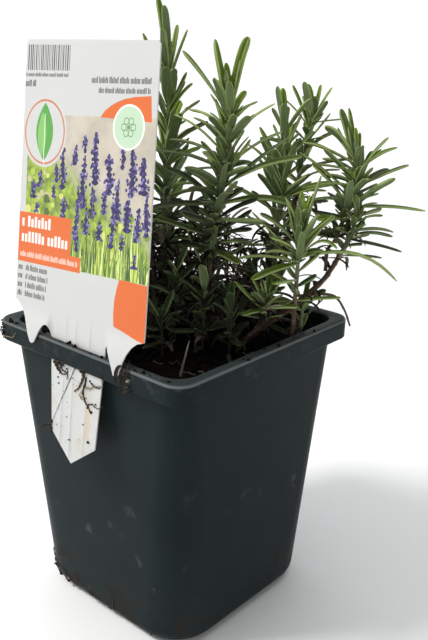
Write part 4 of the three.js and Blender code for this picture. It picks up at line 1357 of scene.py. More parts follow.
# %% Shoots
# for each shoot: pairs of filling leaves, their length and their width
FILLING = {
    "tall_front_shoot": (18, 17, 2.7),
    "tall_back_shoot": (16, 15, 2.4),
    "bright_tuft": (15, 15, 2.6),
    "rear_shoot": (14, 14, 2.4),
    "right_shoot": (14, 15, 2.6),
    "right_side_shoot": (8, 10, 2.2),
    "outer_shoot": (12, 13, 2.6),
    "low_rosette": (7, 9, 2.2),
    "rim_rosette": (5, 8, 2.2),
    "far_left_shoot": (13, 14, 2.6),
    "far_back_shoot": (13, 14, 2.6),
}
TINTS = {
    "bright_tuft": 0.8,
    "outer_shoot": 0.9,
    "rim_rosette": 0.9,
    "low_rosette": 0.8,
    "right_shoot": 0.6,
}
# sprig leaves get a low tint: dark partly from age and partly as painted shade low in the plant
SHADED_SPRIG_TINT = 0.2
SHOOT_TINT = 0.46
LONG_LEAF = 32
LONG_LEAF_SAG = 0.36
MIDDLE_HEIGHT = 42


def corner_leaves(leaf, seed):
    """Two small leaves in the corner between a large leaf and the stem."""
    small = []
    for side in (-1, 1):
        small.append(
            dict(
                leaf,
                heading=leaf["heading"] + side * math.radians(spread(seed, 20 + side, 22, 55)),
                rise=min(1.4, leaf["rise"] + math.radians(spread(seed, 24 + side, 10, 42))),
                length=leaf["length"] * spread(seed, 28 + side, 0.28, 0.62),
                width=leaf["width"] * spread(seed, 32 + side, 0.5, 0.72),
                droop=leaf["droop"] * spread(seed, 36 + side, -1.0, 1.0),
            )
        )
    return small


def leafy_piece(name, shoot, number):
    line = Line(shoot["route"])
    body = Body()
    add_stem(body, line, shoot_ends(shoot), 10, 2 if "sprig" in name else 1, 0.05, 6.0, 0.2)
    leaves = []
    for leaf in leaves_of[name]:
        leaves.append(dict(leaf, sag=LONG_LEAF_SAG) if leaf["length"] > LONG_LEAF else leaf)
    pairs, length, width = FILLING.get(name, (6, 9, 1.8))
    extra = filling_leaves(line, pairs, length, width, shoot["droop"], number * 7)
    extra += [small for k, leaf in enumerate(leaves) for small in corner_leaves(leaf, number * 50 + k)]
    leaves += [leaf for leaf in extra if clear_of_fixtures(leaf)[0]]
    for k, leaf in enumerate(leaves):
        seed = number * 300 + k
        base = TINTS.get(name, SHADED_SPRIG_TINT if "sprig" in name else SHOOT_TINT)
        foot_height = leaf["foot"][2] - RIM_HEIGHT
        tint = base + spread(seed, 3, -0.42, 0.42)
        # leaves lower in the plant get a lower tint and come out darker: partly their age, partly painted
        # shade
        tint += 0.25 * (leaf["station"] - 0.5) + (foot_height - MIDDLE_HEIGHT) / 95
        tint = min(1, max(0, tint))
        add_leaf(body, leaf, seed, tint)
    if "sprig" in name or "rosette" in name:
        dead_leaves_on(body, line, 0, 0.6, 22, 70 + number, 2, reach=(4, 9))
    else:
        count = {"outer_shoot": 3, "right_side_shoot": 0, "right_shoot": 8}.get(name, 26)
        dead_leaves_on(body, line, 0, 0.25, count, 70 + number, 2, reach=(6, 13))
    body.piece(name + "_leaves", "green_leaf", name, leaf_green, green_stem, dried_leaf, crease=60)
    return len(leaves)


total = 0
for number, (name, shoot) in enumerate(SHOOTS.items()):
    if not shoot.get("dry"):
        total += leafy_piece(name, shoot, number)
print("green leaves:", total)

# %% [markdown]
# ## Dried sprigs
#
# Low in the plant, where no light comes, last year's shoots have died back to a tangle of thin
# twigs and curled leaves. They are what makes the heart of the plant dark, so each sprig gets side
# twigs, and leaves on all of them.


# %% Sprigs that have died back
SIDE_TWIGS = 9


def side_twig(line, station, heading, length, seed):
    """A thin twig that leaves the sprig, wavering as it goes."""
    foot = line.share(station)
    points = [foot]
    rise = spread(seed, 1, -0.2, 0.9)
    for k in range(8):
        heading += spread(seed, 10 + k, -0.45, 0.45)
        rise += spread(seed, 20 + k, -0.35, 0.3)
        out = math.cos(rise)
        step = np.array((out * math.cos(heading), out * math.sin(heading), math.sin(rise)))
        points.append(points[-1] + step * length / 8)
    return np.array(points)


def dried_piece(name, shoot, number):
    line = Line(shoot["route"])
    body = Body()
    add_stem(body, line, shoot_ends(shoot), 8, 1)
    for k, leaf in enumerate(leaves_of[name]):
        seed = number * 90 + k
        place = (leaf["foot"], leaf["heading"], leaf["rise"] + 0.3, leaf["length"], leaf["width"])
        add_curled_leaf(body, *place, spread(seed, 2, 0.5, 2.2), spread(seed, 3, -1.2, 1.2), seed)
    dead_leaves_on(body, line, 0.25, 1, 30, 50 + number, 0, reach=(6, 12))
    for k in range(SIDE_TWIGS):
        seed = number * 31 + k
        heading = spread(seed, 4, 0, 2 * math.pi)
        station = 0.3 + 0.65 * k / SIDE_TWIGS
        straight = dict(foot=line.share(station), heading=heading, rise=0.3, length=11, width=3, droop=0)
        if not clear_of_fixtures(straight)[0]:
            continue
        points = side_twig(line, station, heading, spread(seed, 5, 7, 12), seed)
        body.rings(tube_rings(points, np.linspace(0.32, 0.16, len(points)), 6), 1, tint=0.4)
        for i in range(2, 9):
            for side in (-1, 1):
                turn = heading + side * spread(seed * 9 + i, 6, 0.5, 1.4)
                size = (spread(seed + i, 7, 3.5, 7.5), spread(seed + i, 8, 0.5, 1.0))
                curl, bend = spread(seed + i, 12, 0.8, 3.2), side * spread(seed + i, 13, 0.2, 1.8)
                add_curled_leaf(body, points[i], turn, 0.5, *size, curl, bend, seed * 20 + 2 * i + side)
    body.piece(name + "_curled", "dried_leaf", name, dried_leaf, bark, crease=50)


for number, (name, shoot) in enumerate(SHOOTS.items()):
    if shoot.get("dry"):
        dried_piece(name, shoot, number)

standing = Body()
leaf_foot = (24, -23, float(soil_top(24, -23)) - 3)
add_curled_leaf(standing, leaf_foot, math.radians(80), math.radians(78), 15, 1.7, 0.15, 0.1, 4, tint=1)
standing.piece("standing_leaf", "dried_leaf", "standing_dry_leaf", dried_leaf, crease=60)
print("dried sprigs done")

# %% [markdown]
# ## The plant tag
#
# The tag is one sheet of white plastic, less than half a millimetre thick. A panel stands above the
# rim, a tongue goes down through the slot, and two hooks bend forward over the skirt. The outline
# is drawn once, flat. A grid of points inside it lets the sheet bend where the hooks are and crease
# where the tongue has its ribs.

# %% Tag outline
TAG_TOP = 95.0
TAG_HALF_TOP = 30.5
TAG_OUTLINE = [
    (1.4, -40), (12.6, -32.3), (14.4, -8), (14.9, 0), (14.9, 1.6), (15.3, 2.6), (16, 2.9),
    (16.9, 2.2), (18.2, 0.4), (19.4, -2), (20.4, -4.1), (21.5, -4.5), (22.4, -4), (23.3, -1.6),
    (24.2, 0.8), (25.3, 3), (26.9, 4.9), (29, 6.3), (31.8, 7), (TAG_HALF_TOP, TAG_TOP - 1),
    (TAG_HALF_TOP - 1, TAG_TOP), (1 - TAG_HALF_TOP, TAG_TOP), (-TAG_HALF_TOP, TAG_TOP - 1),
    (-31.6, 10.6), (-29.6, 9.2), (-27.2, 7.4), (-25.2, 5.2), (-23.6, 2.8), (-22.2, 0.2),
    (-21, -1.7), (-20.1, -2.1), (-19.1, -1.7), (-18, 0.2), (-16.9, 2.4), (-15.6, 4.1),
    (-14.2, 4.7), (-12.9, 4.1), (-12, 2.6), (-11.2, 0.4), (-10.9, -8), (-9.2, -31),
]
RIB_PLACES = (-3.8, 1.0, 7.8)
HOOK_ASIDE = 0.6
TOP_SLANT = 0.038


def smooth(x, low, high):
    t = np.clip((np.asarray(x, float) - low) / (high - low), 0, 1)
    return t * t * (3 - 2 * t)


def hook_bend(u, v):
    """How far the hooks bend forward, to hang over the rim."""
    hook = smooth(abs(u - 1.9), 12.9, 15.9)
    plane = SLOT_Y + np.sin(TAG_TILT) * v
    hooked = -(RIM_HALF + FIT + TAG_SHEET / 2)
    return (plane - hooked + 0.2 * np.maximum(0, -v)) * (1 - smooth(v, -0.5, 9)) * hook


def tag_bend(u, v):
    """How far the sheet stands forward of its own plane: hooks over the rim, ribs and a soft wave."""
    forward = hook_bend(u, v)
    low = 1 - smooth(v, 2, 9)
    for place in RIB_PLACES:
        forward = forward + 0.32 * np.exp(-(((u - place - 0.02 * v) / 0.5) ** 2)) * low
    return forward + 0.12 * np.sin(u * 0.11 + 1) * smooth(v, 8, 30)


def tag_point(u, v, depth):
    """The sheet's point: depth is half the sheet in front of it or behind it."""
    v = v - TOP_SLANT * (u + 7) * smooth(v, 72, TAG_TOP)
    up = u * math.sin(TAG_LEAN) + v * math.cos(TAG_LEAN)
    x = TAG_OFFSET + u * math.cos(TAG_LEAN) - v * math.sin(TAG_LEAN) + HOOK_ASIDE * hook_bend(u, v)
    y = SLOT_Y + math.sin(TAG_TILT) * up - tag_bend(u, v) + depth
    return np.stack([x, y, RIM_HEIGHT + math.cos(TAG_TILT) * up], axis=-1)


print("tag is", TAG_TOP - TAG_OUTLINE[0][1], "mm tall in all")

# %% [markdown]
# ## The print
#
# The print could be an image, but then the part would carry a picture. It is drawn from plain
# shapes instead, in millimetres across (u) and up (v) the tag, each with its ink. Shapes are laid
# over each other in order, and then the sheet's own faces are cut along all their edges. Each face
# knows its ink, and an edge stays crisp at any size. Wording is left out: rows of small blocks
# stand where lines of type would be, because they give the same grey.


# %% Shapes for print
class Print:
    """Shapes laid over each other in order, each with its ink."""

    def __init__(self, outline, white):
        self.shapes = []
        self.inks = []
        self.lay(outline, white)

    def lay(self, shape, ink, ground=0.0):
        self.shapes.append(np.asarray(shape, float))
        self.inks.append((*ink, ground))

    def box(self, left, low, right, high, ink, ground=0.0):
        self.lay([(left, low), (right, low), (right, high), (left, high)], ink, ground)

    def disc(self, x, y, radius, ink, sides=36, tall=1.0):
        turns = (np.arange(sides) + 0.31) * 2 * math.pi / sides
        across, up = radius * np.cos(turns), tall * radius * np.sin(turns)
        self.lay(np.column_stack([x + across, y + up]), ink)

    def leaf(self, x, low, high, half, ink):
        """A pointed leaf that stands upright."""
        up = np.linspace(0, 1, 13)
        side = half * np.sin(up * math.pi) ** 0.85
        right = np.column_stack([x + side, low + (high - low) * up])
        left = np.column_stack([x - side, low + (high - low) * up])[::-1]
        self.lay(np.concatenate([right, left[1:-1]]), ink)

    def blade(self, foot, tip, wide, ink):
        """A stalk or a blade of grass: wide at the foot and pointed at the tip."""
        (a, b), (c, d) = foot, tip
        middle = (a * 0.45 + c * 0.55 - 0.2 * (c - a), (b + d) / 2)
        points = [(a - wide / 2, b), (a + wide / 2, b), (middle[0] + wide / 3, middle[1]), (c, d)]
        self.lay(points + [(middle[0] - wide / 3, middle[1])], ink)

    def type_line(self, left, low, right, high, stroke, ink, seed):
        """A row of small blocks in place of a line of type, with a gap now and then."""
        at, k = left, 0
        while at < right - stroke:
            top = high if chance(k, seed) > 0.66 else low + 0.76 * (high - low)
            self.box(at, low, at + 1.35 * stroke, top, ink)
            at += stroke * (1.95 if (k + seed) % 7 else 3.4)
            k += 1


print("print shapes ready")

# %% [markdown]
# The one free drawing is the picture of lavender in bloom. A few tall spikes stand on thin stalks,
# each spike a stack of small round heads, and grass fills the bottom. The blurred ground behind
# them is left to the finish.

# %% The picture
# each spike: its place across, its top, its bottom and its width
SPIKES = [
    (-24, 51, 45, 3.4), (-21, 54.5, 49, 3.2), (-12.8, 56.5, 51, 3.4), (-14, 50, 46, 2.6),
    (-1.5, 50.5, 30, 3.0), (5.4, 51, 41, 3.4), (15, 47, 33, 3.2), (29.3, 50, 38, 3.2),
    (-9.6, 63.4, 49, 3.6), (-8.2, 46.5, 40, 4.0), (-3.6, 63.2, 57, 3.0), (0.6, 66.5, 61, 2.6),
    (0.8, 60, 44, 4.2), (2.6, 43.5, 36, 3.6), (5.9, 67.4, 51.5, 4.2), (12.4, 61.4, 49, 4.8),
    (10.6, 50, 43, 3.4), (9.4, 41, 35, 3.0), (17.8, 63.3, 57, 2.6), (16.8, 54, 42, 3.6),
    (22.2, 63.4, 49, 4.4), (21.4, 48, 38.5, 4.4), (27.2, 61, 50, 4.6), (25.8, 46.5, 36, 3.4),
    (-1.8, 38, 33.5, 2.8), (19.6, 37.5, 33, 2.4), (25.6, 32.5, 28, 2.4), (-22, 44, 40.5, 2.2),
]
DARK_HEAD = (0.022, 0.017, 0.075)
HEAD = (0.062, 0.046, 0.19)
PALE_HEAD = (0.17, 0.145, 0.37)
MEADOW = (
    (0.36, 0.46, 0.06), (0.16, 0.24, 0.035), (0.52, 0.56, 0.16), (0.08, 0.12, 0.03), (0.45, 0.42, 0.22),
)
GRASS = ((0.44, 0.56, 0.08), (0.09, 0.18, 0.025), (0.60, 0.70, 0.24), (0.04, 0.09, 0.02))
STALK = (0.20, 0.26, 0.08)
GRASS_FOOT = 24.2
BACKGROUND = (0.5, 0.45, 0.38)


def draw_spike(sheet, number, place, top, bottom, wide):
    """A lobed outline, dark, with round heads of two inks inside it."""
    rows = max(3, round((top - bottom) / 1.7))
    right, left = [], []
    for k in range(rows * 2 + 1):
        v = bottom + (top - bottom) * k / (rows * 2)
        room = math.sqrt(max(0.05, 1 - (k / (rows * 2)) ** 2.2))
        half = wide / 2 * room * (0.86 if k % 2 else 0.34) * spread(k, number, 0.7, 1.2)
        lean = 0.35 * math.sin(v * 0.35 + number)
        right.append((place + lean + half, v))
        left.append((place + lean - half, v))
    sheet.lay(right + left[::-1], DARK_HEAD)
    for k in range(int(rows * wide * 1.25)):
        share = chance(k, number + 40)
        v = bottom + (top - bottom) * share
        reach = 0.56 * wide * math.sqrt(1 - share**2.2)
        u = place + 0.35 * math.sin(v * 0.35 + number) + spread(k, number + 41, -reach, reach)
        ink = (HEAD, DARK_HEAD, HEAD, PALE_HEAD)[int(chance(k, number + 42) * 4)]
        radius, tall = spread(k, number + 43, 0.3, 0.68), spread(k, number + 44, 0.7, 1.3)
        sheet.disc(u, v, radius, ink, sides=5, tall=tall)


def draw_picture(sheet):
    sheet.box(-28.2, 24.1, 33, 72.2, BACKGROUND, ground=1.0)
    for k in range(46):
        u, v = spread(k, 201, -28, -7), 27 + 27 * chance(k, 202)
        if v < 60 - 0.25 * (u + 28):
            sheet.disc(u, v, spread(k, 203, 0.6, 1.7), MEADOW[k % 5], sides=9)
    for k in range(60):
        u, v = spread(k, 204, -6, 31), 25 + 19 * chance(k, 205)
        sheet.disc(u, v, spread(k, 206, 0.5, 1.4), MEADOW[k % 4], sides=7)
    for k in range(130):
        u = spread(k, 207, -4, 31)
        tip = (u + spread(k, 208, -3, 3), spread(k, 209, 29, 44))
        sheet.blade((u, GRASS_FOOT), tip, spread(k, 210, 0.35, 0.85), GRASS[k % 4])
    for number, (place, top, bottom, wide) in enumerate(SPIKES):
        sheet.blade((place - 0.4, GRASS_FOOT), (place, bottom + 1), 0.42, STALK)
        draw_spike(sheet, number, place, top, bottom, wide)


print("the picture has", len(SPIKES), "spikes")


# %% The whole print
SHEET_WHITE = (0.50, 0.505, 0.495)
ORANGE = (0.60, 0.122, 0.024)
INK = (0.05, 0.05, 0.048)
GREY = (0.072, 0.072, 0.07)
PALE_GREEN = (0.44, 0.58, 0.42)
DARK_GREEN = (0.13, 0.24, 0.12)


def draw_print():
    sheet = Print(TAG_OUTLINE, SHEET_WHITE)
    draw_picture(sheet)
    sheet.lay([(-34, 20), (24, 20), (24, 24.1), (-28.2, 24.1), (-28.2, 73), (-34, 73)], SHEET_WHITE)
    at, k = -29.6, 0
    while at < -8.3:
        bar = spread(k, 220, 0.2, 0.62)
        sheet.box(at, 85.7, at + bar, 93.4, GREY)
        at += bar + spread(k, 221, 0.26, 0.66)
        k += 1
    sheet.type_line(-31.0, 83.8, -8.6, 85.0, 0.24, GREY, 222)
    sheet.type_line(-31.0, 80.8, -25.2, 82.8, 0.32, INK, 226)
    sheet.type_line(2.4, 82.2, 28.0, 84.2, 0.3, GREY, 227)
    sheet.type_line(5.8, 79.2, 28.0, 81.0, 0.3, GREY, 228)
    arc = [(7.2, 72), (8.9, 73.9), (11.6, 75.5), (14.4, 76.7), (17.4, 77.6), (22, 78.3), (28.2, 78.6)]
    arc.append((29.0, 71))
    sheet.lay(arc[::-1], ORANGE)
    sheet.disc(19.6, 69.4, 6.7, (0.80, 0.80, 0.74))
    sheet.disc(19.6, 69.4, 6.1, PALE_GREEN)
    for turn in range(6):
        angle = turn * math.pi / 3
        x, y = 19.6 + 2.0 * math.cos(angle), 69.4 + 2.0 * math.sin(angle)
        sheet.disc(x, y, 1.12, DARK_GREEN, sides=14)
        sheet.disc(x, y, 0.84, PALE_GREEN, sides=14)
    sheet.disc(19.6, 69.4, 0.7, DARK_GREEN, sides=14)
    sheet.disc(-19.7, 66.7, 11.2, SHEET_WHITE, sides=48)
    sheet.disc(-19.7, 66.7, 10.3, (0.50, 0.16, 0.07), sides=48)
    sheet.disc(-19.7, 66.7, 9.7, SHEET_WHITE, sides=48)
    sheet.leaf(-19.7, 57.4, 76.0, 4.4, (0.085, 0.30, 0.055))
    sheet.leaf(-20.9, 58.6, 73.0, 2.2, (0.20, 0.43, 0.12))
    sheet.box(-19.85, 56.6, -19.55, 72.5, (0.72, 0.78, 0.64))
    sheet.box(-31.4, 28.3, -4.0, 40.2, ORANGE)
    sheet.box(-31.6, 23.5, 1.2, 28.4, ORANGE)
    sheet.type_line(-29.7, 35.4, -13.6, 39.0, 0.92, (0.70, 0.68, 0.65), 231)
    sheet.type_line(-29.7, 30.2, -5.6, 33.8, 0.92, (0.70, 0.68, 0.65), 232)
    sheet.type_line(-30.2, 25.2, 0.2, 27.1, 0.28, (0.68, 0.52, 0.44), 233)
    for row, end in enumerate((-14.5, -15.0, -15.6, -15.6)):
        low = 20.6 - 2.95 * row
        sheet.type_line(-30.8, low, -28.2, low + 2.0, 0.42, INK, 240 + row)
        sheet.type_line(-26.8, low, end, low + 2.0, 0.32, GREY, 250 + row)
    patch = [(19.4, 24.2), (18.4, 21), (17.7, 17.3), (17.6, 13), (18.0, 9.4), (21, 8.8), (25, 7.9)]
    sheet.lay(patch + [(28.5, 7.2), (33, 6.6), (33, 23.9)], ORANGE)
    return sheet


sheet_print = draw_print()
print("print has", len(sheet_print.shapes), "shapes")


# %% [markdown]
# One flat triangulation takes all the printed outlines at once, with extra points where the sheet
# will bend. It tells for each triangle which shapes cover it, and the last one laid gives the ink.
# Only then is the flat sheet given its thickness and bent into place.


# %% The sheet cut along its print
def sheet_points():
    """Extra points that let the sheet bend, finer low down, at its hooks and its ribs."""
    corners = np.array(TAG_OUTLINE)
    points = [(u, v) for v in np.arange(12, TAG_TOP, 4) for u in np.arange(-28, 29, 4)]
    points += [(u, v) for v in np.arange(-38, 11, 1.6) for u in np.arange(-30, 31, 0.8)]
    kept = []
    ahead = np.roll(corners, -1, axis=0)
    along = ahead - corners
    for u, v in points:
        crosses = (corners[:, 1] > v) != (ahead[:, 1] > v)
        at = corners[:, 0] + (v - corners[:, 1]) * along[:, 0] / np.where(crosses, along[:, 1], 1)
        share = np.sum((np.array((u, v)) - corners) * along, axis=1) / np.sum(along * along, axis=1)
        nearest = corners + np.clip(share, 0, 1)[:, None] * along
        in_outline = np.count_nonzero(crosses & (u < at)) % 2 == 1
        if in_outline and np.hypot(*(nearest - (u, v)).T).min() > 0.3:
            kept.append((u, v))
    return kept


def cut_sheet(sheet):
    """Flat triangles of the sheet, and the ink of each."""
    points, faces = [], []
    for number, shape in enumerate(sheet.shapes):
        if number == 0:
            edge = []
            for a, b in zip(shape, np.roll(shape, -1, axis=0)):
                steps = max(1, round(np.linalg.norm(b - a) / 2.5))
                edge += [a + (b - a) * k / steps for k in range(steps)]
            shape = np.array(edge)
        faces.append(list(range(len(points), len(points) + len(shape))))
        points += [Vector(p) for p in shape]
    points += [Vector(p) for p in sheet_points()]
    flat, _, cut, _, _, under = delaunay_2d_cdt(points, [], faces, 1, 1e-4, True)
    kept = [(face, max(shapes)) for face, shapes in zip(cut, under) if 0 in shapes]
    return np.array([tuple(p) for p in flat]), kept


def tag_body(sheet):
    flat, cut = cut_sheet(sheet)
    u, v = flat.T
    count = len(flat)
    both = np.concatenate([tag_point(u, v, -TAG_SHEET / 2), tag_point(u, v, TAG_SHEET / 2)])
    skin, inks, sides = [], [], set()
    for face, shape in cut:
        a, b, c = flat[face[0]], flat[face[1]], flat[face[2]]
        if (b[0] - a[0]) * (c[1] - a[1]) - (b[1] - a[1]) * (c[0] - a[0]) < 0:
            face = face[::-1]
        skin += [tuple(face), tuple(count + i for i in reversed(face))]
        inks += [sheet.inks[shape], sheet.inks[0]]
        sides |= set(zip(face, face[1:] + face[:1]))
    for i, j in sorted(sides):
        if (j, i) not in sides:
            skin.append((j, i, count + i, count + j))
            inks.append(sheet.inks[0])
    used = sorted({i for face in skin for i in face})
    place = {old: new for new, old in enumerate(used)}
    body = Body()
    skin = [tuple(place[i] for i in face) for face in skin]
    body.add(both[used], skin, 0, u=np.tile(u, 2)[used], v=np.tile(v, 2)[used])
    return body, inks


tag_mesh, tag_inks = tag_body(sheet_print)
print("tag has", tag_mesh.count, "points and", len(tag_inks), "faces")


# %% [markdown]
# The sheet's ink comes from the mark on each face. The finish adds painted shade along the creases of
# the tongue's ribs, and what use has done: dust and soil below the rim, and a damp stain.


# %% The tag's finish
def printed_tag():
    """Ink on plastic: a blurred meadow behind the flowers, then painted shade along the ribs, dust and
    soil low down.
    """
    finish = Finish("printed_tag", roughness=0.42, Specular_IOR_Level=0.4)
    ink = finish.tree.nodes.new("ShaderNodeAttribute")
    ink.attribute_name = "ink"
    u, v = finish.mark("u"), finish.mark("v")
    at = finish.vector(u, v, 0)
    wide, fine = finish.noise(0.12, 3, at=at), finish.noise(0.3, 3, at=at)
    sky = finish.mix(wide.above(0.5, 0.3), (0.50, 0.45, 0.375), (0.40, 0.36, 0.29))
    meadow = finish.mix(fine.above(0.5, 0.3), (0.34, 0.44, 0.06), (0.13, 0.20, 0.035))
    meadow_top = 48 - 0.5 * u + 7 * finish.noise(0.2, 2, at=at)
    ground = finish.mix((meadow_top - v).above(0, 9), sky, meadow)
    colour = finish.mix(Field(finish, ink.outputs["Alpha"]), Field(finish, ink.outputs["Color"]), ground)
    low_down = v.below(1, 3)
    soiled = finish.noise(520, 5, 0.7).above(0.66, 0.05) * low_down
    colour = finish.mix(soiled * 0.8, colour, (0.050, 0.034, 0.022))
    dusty = finish.noise(160, 4, 0.6).above(0.58, 0.2) * low_down
    colour = finish.mix(dusty * 0.35, colour, (0.46, 0.38, 0.26))
    stain = u.between(7.2, 9.6, 1.2) * v.between(-30, -18, 4)
    colour = finish.mix(stain * 0.45, colour, (0.55, 0.36, 0.16))
    # painted shade: a darker blue-grey line along each rib's crease, low on the tongue
    for place in RIB_PLACES:
        crease = finish.math("ABSOLUTE", u - place - 0.02 * v).below(0.3, 0.3)
        colour = finish.mix(crease * v.below(8, 6) * 0.6, colour, (0.36, 0.37, 0.38))
    finish.paint(colour)
    finish.gloss(0.34 + 0.2 * finish.noise(300, 3) + 0.3 * soiled)
    finish.relief(finish.noise(60, 2), 0.08, 0.4)
    return finish


tag_piece = tag_mesh.piece("tag_printed_sheet", "tag_sheet", "plant_tag", printed_tag(), crease=35)
ink_layer = tag_piece.data.attributes.new("ink", "FLOAT_COLOR", "CORNER")
corner_inks = np.repeat(np.array(tag_inks), [p.loop_total for p in tag_piece.data.polygons], axis=0)
ink_layer.data.foreach_set("color", corner_inks.astype(np.float32).ravel())
print("tag", [round(x, 4) for x in tag_piece.dimensions])

# %% [markdown]
# ## Crumbs and roots
#
# A pot from the nursery bench is never clean. Crumbs of compost lie on the soil, the rim and the
# tag. They are small, but they set the scale of the pot. Modelling each would be slow, and one
# round shape would look like beads. So six lumps are made once, and each crumb is one of them,
# turned and sized by chance.


# %% Crumbs
def crumb_shape(seed):
    """A lump: a ball of forty-two points, each pushed in or out."""
    shape = bmesh.new()
    bmesh.ops.create_icosphere(shape, subdivisions=2, radius=1)
    points = np.array([v.co[:] for v in shape.verts])
    faces = [[v.index for v in face.verts] for face in shape.faces]
    shape.free()
    jolt = [spread(k, seed, 0.55, 1.25) for k in range(len(points))]
    stretch = np.array((spread(1, seed, 0.8, 1.5), spread(2, seed, 0.6, 1.1), spread(3, seed, 0.45, 0.9)))
    return points * np.array(jolt)[:, None] * stretch, faces


CRUMB_SHAPES = [crumb_shape(seed) for seed in range(6)]


def add_crumb(body, at, size, seed):
    points, faces = CRUMB_SHAPES[seed % 6]
    turn = spread(seed, 41, 0, 2 * math.pi)
    cos, sin = math.cos(turn), math.sin(turn)
    x, y, z = points.T
    turned = np.stack([x * cos - y * sin, x * sin + y * cos, z], axis=-1)
    body.add(turned * size + np.asarray(at), faces, tint=chance(seed, 42))


LOOSE_CRUMBS = 620


def soil_crumbs():
    body = Body()
    reach = WALL_TOP - WALL - 2.2
    for k in range(LOOSE_CRUMBS):
        x, y = spread(k, 51, -reach, reach), spread(k, 52, -reach, reach)
        size = 0.25 + 1.15 * chance(k, 53) ** 3
        add_crumb(body, (x, y, float(soil_top(x, y)) + size * 0.35), size, k)
    return body


def bench_crumbs():
    """Crumbs on the rim, on the skirt's corner, on the tongue and along the foot."""
    body = Body()
    for k in range(70):
        along = spread(k, 61, -RIM_HALF + 5, RIM_HALF - 5)
        across = -(RIM_HALF - spread(k, 62, 0.6, 3.2))
        x, y = (along, across) if k % 9 else (-across, along)
        size = 0.14 + 0.75 * chance(k, 63) ** 3
        add_crumb(body, (x, y, RIM_HEIGHT + size * 0.3), size, k)
    for k in range(40):
        turn = spread(k, 64, 3.85, 4.6)
        z = RIM_HEIGHT - 0.4 - 6.2 * chance(k, 65) ** 0.7
        reach = RIM_HALF - RIM_CORNER
        out = RIM_CORNER + 0.1
        at = (-reach + out * math.cos(turn), -reach + out * math.sin(turn), z)
        add_crumb(body, at, 0.14 + 0.5 * chance(k, 66) ** 2, k + 7)
    for k in range(26):
        u, v = spread(k, 67, -9, 13), -8 - 24 * chance(k, 68) ** 2
        add_crumb(body, tag_point(u, v, -0.35), 0.12 + 0.45 * chance(k, 69) ** 3, k + 3)
    for k in range(40):
        z = 0.6 + 7 * chance(k, 71) ** 2
        ring = np.array(wall_ring(z, -0.1))
        at = ring[int(spread(k, 72, 20, 36)) % len(ring)]
        add_crumb(body, at, 0.2 + 0.6 * chance(k, 73) ** 2, k + 11)
    return body


soil_crumbs().piece("soil_crumbs", "compost", None, compost, crease=180)
bench_crumbs().piece("bench_crumbs", "compost", None, compost, crease=180)
print("crumbs laid")

# %% [markdown]
# Fine roots have come out through the slot and dried on the tag, and more lie along the pot's base
# and in the compost. A root wanders as it grows, so its line turns a little by chance at each step.
# The line is worked out flat, and a short function lays it on the wall, the skirt, the tongue or
# the soil.


# %% Root finish
def root_finish():
    finish = Finish("fine_root", roughness=0.8, Specular_IOR_Level=0.3)
    grain = finish.noise(500, 4)
    dark = finish.mix(grain, (0.012, 0.008, 0.005), (0.046, 0.029, 0.018))
    finish.paint(finish.mix(finish.mark("tint").above(0.75, 0.2), dark, (0.30, 0.24, 0.16)))
    finish.relief(finish.noise(1200, 3), 0.1, 0.7)
    return finish


fine_root = root_finish()
print("root finish ready")


# %% A root's line, and where it lies
def wander(start, heading, length, seed, onto, steps=22, loose=0.5):
    """A root's line on a flat surface. onto turns (across, up) into a place."""
    a, b = start
    line = []
    for k in range(steps):
        line.append(onto(a, b, 0.15 + 0.5 * loose * abs(math.sin(k * 0.6 + seed))))
        heading += spread(k, seed, -loose, loose)
        a += math.cos(heading) * length / steps
        b += math.sin(heading) * length / steps
    return np.array(line)


def on_front_wall(x, z, off):
    z = max(z, 0.4)
    ring = np.array(wall_ring(z, -off))
    front = ring[ring[:, 1] < 0]
    front = front[np.argsort(front[:, 0])]
    x = min(max(x, front[0, 0]), front[-1, 0])
    return (x, np.interp(x, front[:, 0], front[:, 1]), z)


def on_skirt(x, z, off):
    return (x, -RIM_HALF - off, z)


def on_tongue(u, v, off):
    return tuple(tag_point(np.float64(u), np.float64(v), -TAG_SHEET / 2 - off))


print("a root can lie on the wall, the skirt or the tongue")

